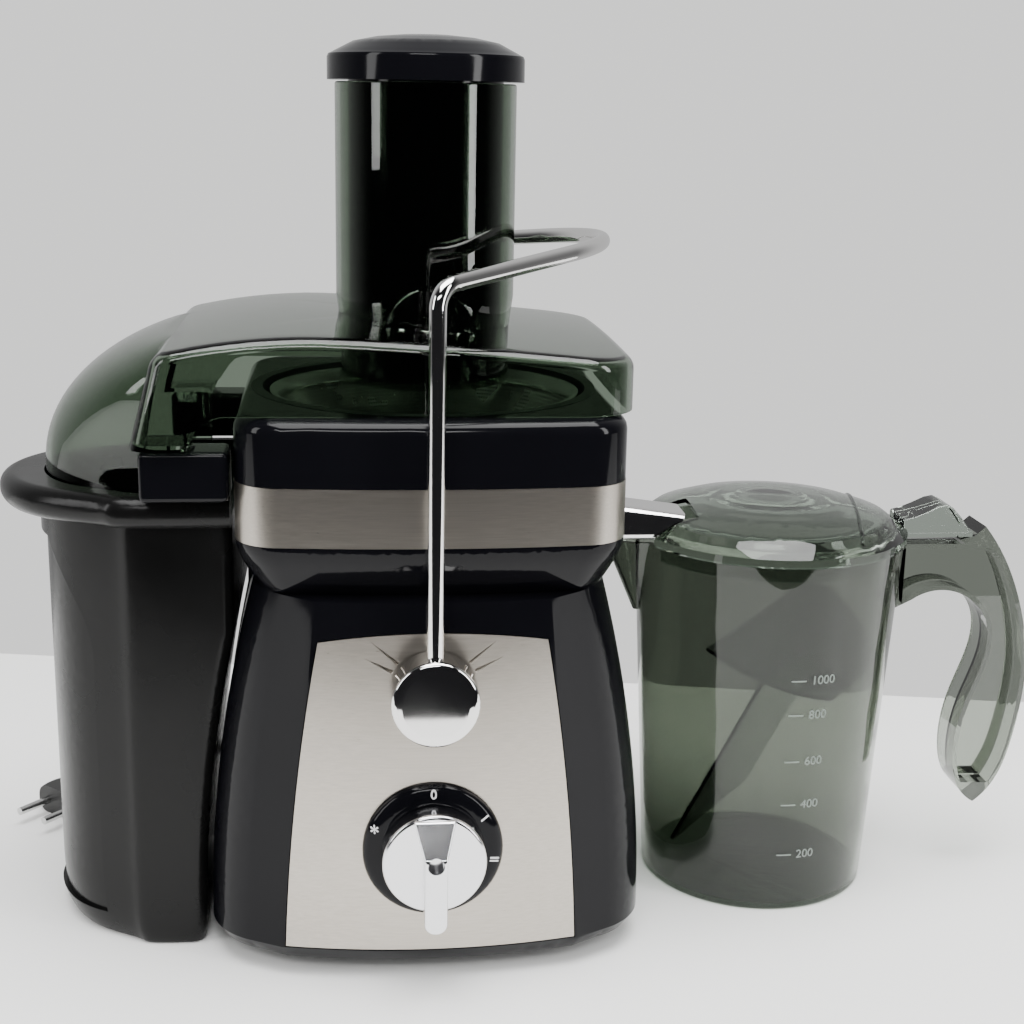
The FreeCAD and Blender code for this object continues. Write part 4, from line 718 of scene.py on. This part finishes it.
def addFascia(settings):
    panel = cadCopy("front_fascia", keep=0.3)
    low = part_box("front_fascia")[0]
    cutters = []
    for angle in settings["angles"]:
        clearSelection()
        heading = math.radians(angle)
        middle = (settings["fromRadius"] + settings["toRadius"]) / 2
        length = settings["toRadius"] - settings["fromRadius"]
        bpy.ops.mesh.primitive_cube_add(size=1.0)
        ray = bpy.context.object
        half = settings["cutterHalf"]
        ray.scale = (half * math.sqrt(2) / 1000.0, half * math.sqrt(2) / 1000.0, length / 1000.0)
        ray.rotation_mode = "ZYX"
        ray.rotation_euler = (0, heading, math.radians(45))
        x = middle * math.sin(heading)
        front = low.y + (settings["plateBow"] - math.sqrt(settings["plateBow"] ** 2 - x ** 2)) / 1000.0
        ray.location = (place(x, 0, 0).x, front + (settings["depth"] - half) / 1000.0,
                        (settings["pivotHeight"] + middle * math.cos(heading)) / 1000.0)
        settle(ray)
        cutters.append(ray)
    combine(panel, joinPieces("rayCutter", cutters), "DIFFERENCE")
    return finishPiece(panel, "frontPlate", "base", "steel", ("front_fascia",), 25)


addFascia(fasciaRays)

# ---- collector, its steel band and the spout

finishCopy("collar_housing", "collarShell", "glossBlack", 30)
finishCopy("steel_band", "collarBand", "steel", 30)
finishCopy("juice_spout", "pourSpout", "chrome", 40, 0.3)
finishCopy("basket_rim", "basketRim", "brightSteel", 40)
cadNodes["filter_basket"].data.materials[0] = finishes["sieve"]
print("base and collector finished")

# ---- dial ring, its marks and the knob

dial = {"height": 62.6, "markRadius": 26.2, "markFace": -98.55, "size": 5.4, "starSize": 1.5,
        "starDrop": 0.0012, "raised": 0.0002, "thicker": 0.00008, "domeFrom": 24.8, "domeFall": 0.075,
        "marks": (("0", 0.0), ("*", -63.7), ("I", 55.5), ("II", 99.0))}


def addMarks(settings):
    finishCopy("dial_ring", "dialRing", "glossBlack", 40)
    parts = []
    for word, angle in settings["marks"]:
        size = settings["size"] / 1000.0 * (settings["starSize"] if word == "*" else 1.0)
        drop = settings["starDrop"] if word == "*" else 0.0
        mark = raisedWord(word, size, settings["raised"], settings["thicker"], True)
        mark.rotation_euler = (math.radians(90), 0, 0)
        settle(mark)
        turn = math.radians(angle)
        mark.rotation_euler = (0, turn, 0)
        mark.location = place(settings["markRadius"] * math.sin(turn), settings["markFace"],
                              settings["height"] + settings["markRadius"] * math.cos(turn))
        mark.location.z -= drop
        settle(mark)
        parts.append(mark)
    obj = joinPieces("dialMarks", parts)
    for vertex in obj.data.vertices:
        out = math.hypot(vertex.co.x - axisX, vertex.co.z - settings["height"] / 1000.0) * 1000.0
        # follows the ring's dome
        vertex.co.y += max(0.0, out - settings["domeFrom"]) ** 2 * settings["domeFall"] / 1000.0
    return finishPiece(obj, "dialMarks", "base", "print", (), 30)


addMarks(dial)

knob = {"height": 62.6, "back": -99.2, "face": -110.2, "radius": 22.0, "gripFront": -122.2, "gripWidth": 9.6,
        "gripLow": -26.0, "gripHigh": 7.0, "gripSunk": 3.0, "flareHigh": 20.0, "flareWidth": 18.0,
        "flareProud": 0.0006, "dimpleRadius": 3.5, "dimpleDepth": 5.0, "dimpleDown": 2.2,
        "discEdge": 0.0016, "gripEdge": 0.0011, "endFlat": 0.0003}


def addKnob(settings):
    height = settings["height"]
    depth = settings["back"] - settings["face"]
    clearSelection()
    bpy.ops.mesh.primitive_cylinder_add(vertices=128, radius=settings["radius"] / 1000.0,
                                        depth=depth / 1000.0, rotation=(math.radians(90), 0, 0),
                                        location=place(0, (settings["back"] + settings["face"]) / 2, height))
    disc = bpy.context.object
    settle(disc)
    bevelEdges(disc, settings["discEdge"], 5)
    clearSelection()
    bpy.ops.mesh.primitive_cube_add(size=1.0)
    grip = bpy.context.object
    gripLength = settings["gripHigh"] - settings["gripLow"]
    gripDepth = settings["face"] + settings["gripSunk"] - settings["gripFront"]
    grip.scale = (settings["gripWidth"] / 1000.0, gripDepth / 1000.0, gripLength / 1000.0)
    grip.location = place(0, settings["gripFront"] + gripDepth / 2,
                          height + settings["gripLow"] + gripLength / 2)
    settle(grip)
    selectNone("FACE")
    for face in grip.data.polygons:
        face.select = face.normal.z > 0.9
    setMode("EDIT")
    rise = settings["flareHigh"] - settings["gripHigh"]
    bpy.ops.mesh.extrude_region_move(TRANSFORM_OT_translate={"value": (0, 0, rise / 1000.0)})
    setMode("OBJECT")
    topZ = max(vertex.co.z for vertex in grip.data.vertices)
    faceY = place(0, settings["face"], 0).y
    for vertex in grip.data.vertices:
        if vertex.co.z > topZ - 0.0005:
            vertex.co.x = axisX + math.copysign(settings["flareWidth"] / 2000.0, vertex.co.x - axisX)
            if vertex.co.y < faceY:
                vertex.co.y = faceY - settings["flareProud"]
    selectNone("EDGE")
    lowZ = min(vertex.co.z for vertex in grip.data.vertices)
    for edge in grip.data.edges:
        first, second = (grip.data.vertices[v].co for v in edge.vertices)
        edge.select = max(first.z, second.z) < lowZ + 0.0005 and abs(first.y - second.y) > 0.005
    setMode("EDIT")
    rounding = settings["gripWidth"] / 2000.0 - settings["endFlat"]
    bpy.ops.mesh.bevel(offset=rounding, segments=8, affect="EDGES")
    setMode("OBJECT")
    bevelEdges(grip, settings["gripEdge"], 4, 28)
    combine(disc, grip, "UNION")
    clearSelection()
    dimpleAt = place(0, settings["gripFront"], height + settings["gripHigh"] - settings["dimpleDown"])
    bpy.ops.mesh.primitive_cylinder_add(vertices=48, radius=settings["dimpleRadius"] / 1000.0,
                                        depth=settings["dimpleDepth"] / 500.0, location=dimpleAt,
                                        rotation=(math.radians(90), 0, 0))
    dimple = bpy.context.object
    settle(dimple)
    combine(disc, dimple, "DIFFERENCE")
    return finishPiece(disc, "selectorKnob", "knob", "knobChrome", ("control_knob",), 32)


addKnob(knob)
print("dial and knob finished")

# ---- locking bail

finishCopy("bail_wire", "bailWire", "chrome", 60)
finishCopy("front_pivot_cap", "frontPivotCap", "chrome", 40)
finishCopy("rear_pivot_cap", "rearPivotCap", "chrome", 40)

# ---- lid: hood, pulp lobe, feed tube and catch

hood = {"right": 85.5, "left": 113.0, "depth": 82.0, "rightCorner": 24.0, "leftCorner": 8.0, "ridge": 5.0,
        "lean": 11.0, "crownX": -50.0, "crown": 279.4, "leftFall": 7.6, "rightFall": 8.0, "sideFall": 1.6,
        "wall": 2.4, "overCollar": 247.3, "overContainer": 233.0, "stepX": -92.0,
        "lobeX": -108.0, "lobeReach": 61.5, "lobeDepth": 54.5, "lobeLow": 207.0, "lobeHigh": 274.6,
        "lobeTopDepth": 77.0, "lobeSwell": (216.0, 262.0), "lobeSkirt": 7.0, "lobePower": 1.227,
        "lobeTopPower": 0.28, "lobeRight": 0.35, "lobeSteps": 120, "rightLevel": 22.0, "rightPower": 1.35,
        "leanFrom": 60.0, "leanTop": 272.0, "leanSpan": 40.0, "middleX": -14.0, "innerRidge": 1.2,
        "stepTop": ((6.0, 0.0), (2.0, -1.2), (-1.0, -4.0)),
        "stepFoot": ((-4.0, 6.0), (-6.0, 3.0), (-8.0, 1.6)), "cutLow": 190.0, "cutReach": 120.0, "past": 5.0,
        "straightSteps": 20, "cornerSteps": 10}


def crownHeight(x, y):
    along = x - hood["crownX"]
    if along > 0:
        span = hood["right"] - hood["crownX"] - hood["rightLevel"]
        fall = hood["rightFall"] * (along / span) ** hood["rightPower"]
    else:
        fall = hood["leftFall"] * (along / (hood["left"] + hood["crownX"])) ** 2
    return hood["crown"] - fall - hood["sideFall"] * ((y / hood["depth"]) ** 2 - 1.0)


def hoodOutline(inset):
    right, left, depth = hood["right"] - inset, hood["left"] - inset, hood["depth"] - inset
    spots = []
    corners = ((right, -depth, hood["rightCorner"], 270, 360), (right, depth, hood["rightCorner"], 0, 90),
               (-left, depth, hood["leftCorner"], 90, 180), (-left, -depth, hood["leftCorner"], 180, 270))
    for x, y, radius, start, end in corners:
        radius = max(radius - inset, 0.5)
        centreX = x - math.copysign(radius, x)
        centreY = y - math.copysign(radius, y)
        for step in range(hood["cornerSteps"] + 1):
            angle = math.radians(start + (end - start) * step / hood["cornerSteps"])
            spots.append((centreX + radius * math.cos(angle), centreY + radius * math.sin(angle)))
    full = []
    count = hood["cornerSteps"] + 1
    for corner in range(4):
        full += spots[corner * count:(corner + 1) * count]
        x0, y0 = spots[(corner + 1) * count - 1]
        x1, y1 = spots[((corner + 1) * count) % len(spots)]
        for step in range(1, hood["straightSteps"]):
            share = step / hood["straightSteps"]
            full.append((x0 + (x1 - x0) * share, y0 + (y1 - y0) * share))
    return full


def leaned(x, y, z):
    # the walls spread outward and down towards the left end
    share = max(0.0, min(1.0, (-x - hood["leanFrom"]) / (hood["left"] - hood["leanFrom"])))
    return (x - hood["lean"] * max(0.0, hood["leanTop"] - z) / hood["leanSpan"] * share * share, y, z)


def ringStack(name, rings):
    # a closed solid through rings of points, lowest ring first
    points = [place(*spot) for ring in rings for spot in ring]
    count = len(rings[0])
    faces = [tuple(reversed(range(count)))]
    for level in range(len(rings) - 1):
        for step in range(count):
            after = (step + 1) % count
            faces.append((level * count + step, level * count + after, (level + 1) * count + after,
                          (level + 1) * count + step))
    top = (len(rings) - 1) * count
    faces.append(tuple(range(top, top + count)))
    mesh = bpy.data.meshes.new(name)
    mesh.from_pydata(points, [], faces)
    obj = newObject(name, mesh)
    pick(obj)
    setMode("EDIT")
    bpy.ops.mesh.select_all(action="SELECT")
    bpy.ops.mesh.normals_make_consistent(inside=False)
    setMode("OBJECT")
    return obj


def hoodSolid(inset, low):
    radius = max(hood["ridge"] - inset, hood["innerRidge"])
    middleX = hood["middleX"]
    rings = [[leaned(x, y, low) for x, y in hoodOutline(inset)]]
    for angle in (0, 18, 36, 54, 72, 90):
        inward = radius * (1 - math.cos(math.radians(angle)))
        sink = radius * (1 - math.sin(math.radians(angle)))
        rings.append([leaned(x, y, crownHeight(x, y) - inset - sink) for x, y in hoodOutline(inset + inward)])
    edge = hoodOutline(inset + radius)
    for share in (0.9, 0.78, 0.64, 0.48, 0.3, 0.12):
        ring = []
        for x, y in edge:
            insideX, insideY = middleX + (x - middleX) * share, y * share
            ring.append((insideX, insideY, crownHeight(insideX, insideY) - inset))
        rings.append(ring)
    return ringStack("hoodSolid", rings)


def lobeSolid(inset, low):
    reach, depth = hood["lobeReach"] - inset, hood["lobeDepth"] - inset
    start = hood["lobeLow"] + hood["lobeSkirt"]
    rise = hood["lobeHigh"] - inset - start
    bends = [math.radians(angle) for angle in range(0, 88, 4)]
    levels = [(low, 1.0)] + [(start + rise * math.sin(bend), math.cos(bend) ** hood["lobePower"])
                             for bend in bends]
    swellLow, swellHigh = hood["lobeSwell"]
    topDepth = hood["lobeTopDepth"] - inset
    rings = []
    for height, share in levels:
        # narrow in the container, as wide as the hood above the rim
        wide = max(0.0, min(1.0, (height - swellLow) / (swellHigh - swellLow)))
        wide = wide * wide * (3 - 2 * wide)
        across = depth * share * (1 - wide) + topDepth * share ** hood["lobeTopPower"] * wide
        ring = []
        for step in range(hood["lobeSteps"]):
            angle = 2 * math.pi * step / hood["lobeSteps"]
            side = reach if math.cos(angle) < 0 else reach * hood["lobeRight"]
            ring.append((hood["lobeX"] + side * share * math.cos(angle), across * math.sin(angle), height))
        rings.append(ring)
    return ringStack("lobeSolid", rings)


def turnedSolid(name, profile, steps=128):
    # a closed turned solid on the motor's axis, from its outline as radius and height, lowest first
    angles = [2 * math.pi * step / steps for step in range(steps)]
    return ringStack(name, [[(radius * math.cos(angle), radius * math.sin(angle), height) for angle in angles]
                            for radius, height in profile])


def block(low, high):
    clearSelection()
    bpy.ops.mesh.primitive_cube_add(size=1.0)
    obj = bpy.context.object
    start, end = place(*low), place(*high)
    obj.scale = end - start
    obj.location = (start + end) / 2
    settle(obj)
    return obj


feedTube = {"outer": 39.7, "wall": 2.2, "top": 379.8, "neck": 35.4, "neckHigh": 288.5, "neckLow": 272.5,
            "low": 250.6, "lip": 0.8, "lipIn": 0.4, "lipDown": 0.3, "merge": 0.00001}
catch = {"halfWidth": 19.0, "low": 274.0, "high": 294.5, "front": -48.0, "back": -30.0, "backShare": 0.97,
         "archPower": 0.8, "steps": 24}


def addLid():
    shell = hoodSolid(0.0, hood["overContainer"])
    combine(shell, lobeSolid(0.0, hood["lobeLow"]), "UNION")
    combine(shell, hoodSolid(hood["wall"], hood["overContainer"] + hood["wall"]), "DIFFERENCE")
    combine(shell, lobeSolid(hood["wall"], hood["lobeLow"] - hood["past"]), "DIFFERENCE")
    low, high, step = hood["overContainer"], hood["overCollar"], hood["stepX"]
    reach, cutLow = hood["cutReach"], hood["cutLow"]
    edge = [(step + hood["stepFoot"][-1][0], cutLow), (reach, cutLow), (reach, high)]
    edge += [(step + x, high + z) for x, z in hood["stepTop"]]
    edge += [(step + x, low + z) for x, z in hood["stepFoot"]]
    cut = ringStack("hoodUnderCut", [[(x, y, z) for x, z in edge] for y in (-reach, reach)])
    combine(shell, cut, "DIFFERENCE")
    tube = feedTube
    neck, outer, top, lip = tube["neck"] + tube["wall"], tube["outer"], tube["top"], tube["lip"]
    combine(shell, turnedSolid("tubeWall", [
        (neck, tube["low"]), (neck, tube["neckLow"]), (outer, tube["neckHigh"]), (outer, top - lip),
        (outer - lip * tube["lipIn"], top - lip * tube["lipDown"]), (outer - lip, top)]), "UNION")
    arch = []
    for count in range(catch["steps"] + 1):
        angle = math.radians(180.0 * count / catch["steps"])
        arch.append((catch["halfWidth"] * math.cos(angle), catch["low"] + (catch["high"] - catch["low"]) *
                     math.sin(angle) ** catch["archPower"]))
    lug = ringStack("catchLug", [[(x, catch["front"], z) for x, z in arch],
                                 [(x * catch["backShare"], catch["back"], z) for x, z in arch]])
    combine(shell, lug, "UNION")
    bore = tube["outer"] - tube["wall"]
    combine(shell, turnedSolid("tubeBore", [
        (tube["neck"], tube["low"] - hood["past"]), (tube["neck"], tube["neckLow"]), (bore, tube["neckHigh"]),
        (bore, tube["top"] + hood["past"])]), "DIFFERENCE")
    pick(shell)
    setMode("EDIT")
    bpy.ops.mesh.select_all(action="SELECT")
    bpy.ops.mesh.remove_doubles(threshold=tube["merge"])
    setMode("OBJECT")
    return finishPiece(shell, "smokyLid", "base", "lidSmoke", ("lid",), 38)


addLid()
finishCopy("pusher", "foodPusher", "glossBlack", 40)
print("lid and pusher finished")

# ---- pulp container

finishCopy("pulp_container", "pulpBin", "containerBlack", 35)

# ---- black cheeks beside the pulp chute, and the guide between base and container

cheeks = {"low": (-120.0, 57.0, 211.0), "high": (-83.6, 79.0, 232.3), "edge": 2.5}
sideGuide = {"low": 14.0, "step": 19.0, "levels": 9, "inside": 3.0, "gap": 1.5, "front": 26.0, "back": 52.0,
             "from": -40.0}


def addCheeks(settings):
    (left, near, low), (right, far, high) = settings["low"], settings["high"]
    parts = [block((left, near, low), (right, far, high)), block((left, -far, low), (right, -near, high))]
    obj = joinPieces("chuteCheeks", parts)
    bevelEdges(obj, settings["edge"] / 1000.0, 3)
    return finishPiece(obj, "chuteCheeks", "base", "glossBlack", (), 40)


def addGuide(settings):
    container, housing = meshTree("pulpBin"), meshTree("baseShell")
    rings = []
    for level in range(settings["levels"]):
        height = settings["low"] + settings["step"] * level
        ring = []
        for y in (settings["front"], settings["back"]):
            wall = container.ray_cast(place(settings["from"], y, height), Vector((-1, 0, 0)))[0]
            left = (wall.x - axisX) * 1000.0 + settings["gap"]
            side = housing.ray_cast(place(left, y, height), Vector((1, 0, 0)))[0]
            ring += [(left, y, height), ((side.x - axisX) * 1000.0 + settings["inside"], y, height)]
        rings.append([ring[0], ring[1], ring[3], ring[2]])
    obj = ringStack("sideGuide", rings)
    return finishPiece(obj, "sideGuide", "base", "glossBlack", (), 40)


addCheeks(cheeks)
addGuide(sideGuide)
print("cheeks and guide finished")

# ---- jug, its marks, its lid and the froth plate

finishCopy("juice_jug", "juiceJug", "jugSmoke", 35)

thumbRest = {"profile": ((-34.5, 1.5), (-2.0, 1.5), (-1.5, 3.2), (-6.0, 9.5), (-10.5, 14.4), (-14.0, 15.8),
                         (-18.0, 15.0), (-24.0, 12.2), (-30.0, 9.8), (-34.5, 8.8)),
             "front": -1.2, "back": 21.2, "edge": 1.4, "tabReach": 0.02, "tabHigh": 13.5}


def addJugLid(settings):
    lid = cadCopy("jug_lid")
    right = max(vertex.co.x for vertex in lid.data.vertices)
    tabTop = max(vertex.co.z for vertex in lid.data.vertices if vertex.co.x > right - settings["tabReach"])
    endX, low = (right - axisX) * 1000.0, tabTop * 1000.0 - settings["tabHigh"]
    rest = ringStack("thumbRest", [[(endX + x, y, low + z) for x, z in settings["profile"]]
                                   for y in (settings["front"], settings["back"])])
    bevelEdges(rest, settings["edge"] / 1000.0, 3, 50)
    combine(lid, rest, "UNION")
    return finishPiece(lid, "jugLid", "jug_lid", "jugLidSmoke", ("jug_lid",), 35)


addJugLid(thumbRest)
finishCopy("froth_separator", "frothPlate", "frothSmoke", 35, 0.3, 0.8)

jugScale = {"x": 167.4, "y": 12.0, "foot": 54.7, "rim": 64.4, "height": 172.6, "bearing": -84.0, "size": 6.0,
            "levels": (("200", 29.5), ("400", 55.6), ("600", 77.8), ("800", 101.2), ("1000", 118.3)),
            "dashLength": 7.0, "dashHeight": 0.6, "proud": 0.35, "thinner": -0.02, "wordGap": 1.5,
            "dashGap": 1.0, "sunk": 0.4}


def onJug(settings, along, up, out):
    # millimetres round the jug's wall from the scale's middle, height, and distance out of the wall
    radius = settings["foot"] + (settings["rim"] - settings["foot"]) * up / settings["height"]
    angle = math.radians(settings["bearing"]) + along / radius
    return place(settings["x"] + (radius + out) * math.cos(angle),
                 settings["y"] + (radius + out) * math.sin(angle), up)


def addScale(settings):
    parts = []
    proud, length = settings["proud"], settings["dashLength"]
    for word, level in settings["levels"]:
        label = raisedWord(word, settings["size"], proud, settings["thinner"], False)
        for vertex in label.data.vertices:
            vertex.co = onJug(settings, vertex.co.x + settings["wordGap"], level + vertex.co.y,
                              vertex.co.z - proud * settings["sunk"])
        clearSelection()
        bpy.ops.mesh.primitive_grid_add(x_subdivisions=8, y_subdivisions=1, size=1.0)
        dash = bpy.context.object
        applyModifier(dash, "SOLIDIFY", thickness=1.0, offset=0.0)
        for vertex in dash.data.vertices:
            vertex.co = onJug(settings, vertex.co.x * length - length / 2 - settings["dashGap"],
                              level + vertex.co.y * settings["dashHeight"], vertex.co.z * proud)
        parts += [label, dash]
    obj = joinPieces("jugScale", parts)
    return finishPiece(obj, "jugScale", "jug", "mark", (), 30)


addScale(jugScale)

lidRidge = {"path": [(218.5, 63.0), (217, 52), (212, 30), (206, 0), (200, -28), (196.5, -44)],
            "radius": 0.9, "above": 300.0, "steps": 5}


def addRidge(settings):
    # a fine bead that follows the lid's dome
    dome = meshTree("jugLid")
    spots = []
    for (x0, y0), (x1, y1) in zip(settings["path"], settings["path"][1:]):
        for step in range(settings["steps"]):
            share = step / settings["steps"]
            over = place(x0 + (x1 - x0) * share, y0 + (y1 - y0) * share, settings["above"])
            spots.append(dome.ray_cast(over, Vector((0, 0, -1)))[0])
    spots = [spot for spot in spots if spot is not None]
    pick(roundTube("jugLidRidge", spots, settings["radius"] / 1000.0, 8, 3))
    bpy.ops.object.convert(target="MESH")
    return finishPiece(bpy.context.object, "jugLidRidge", "jug_lid", "jugLidSmoke", (), 50)


addRidge(lidRidge)
print("container and jug finished")
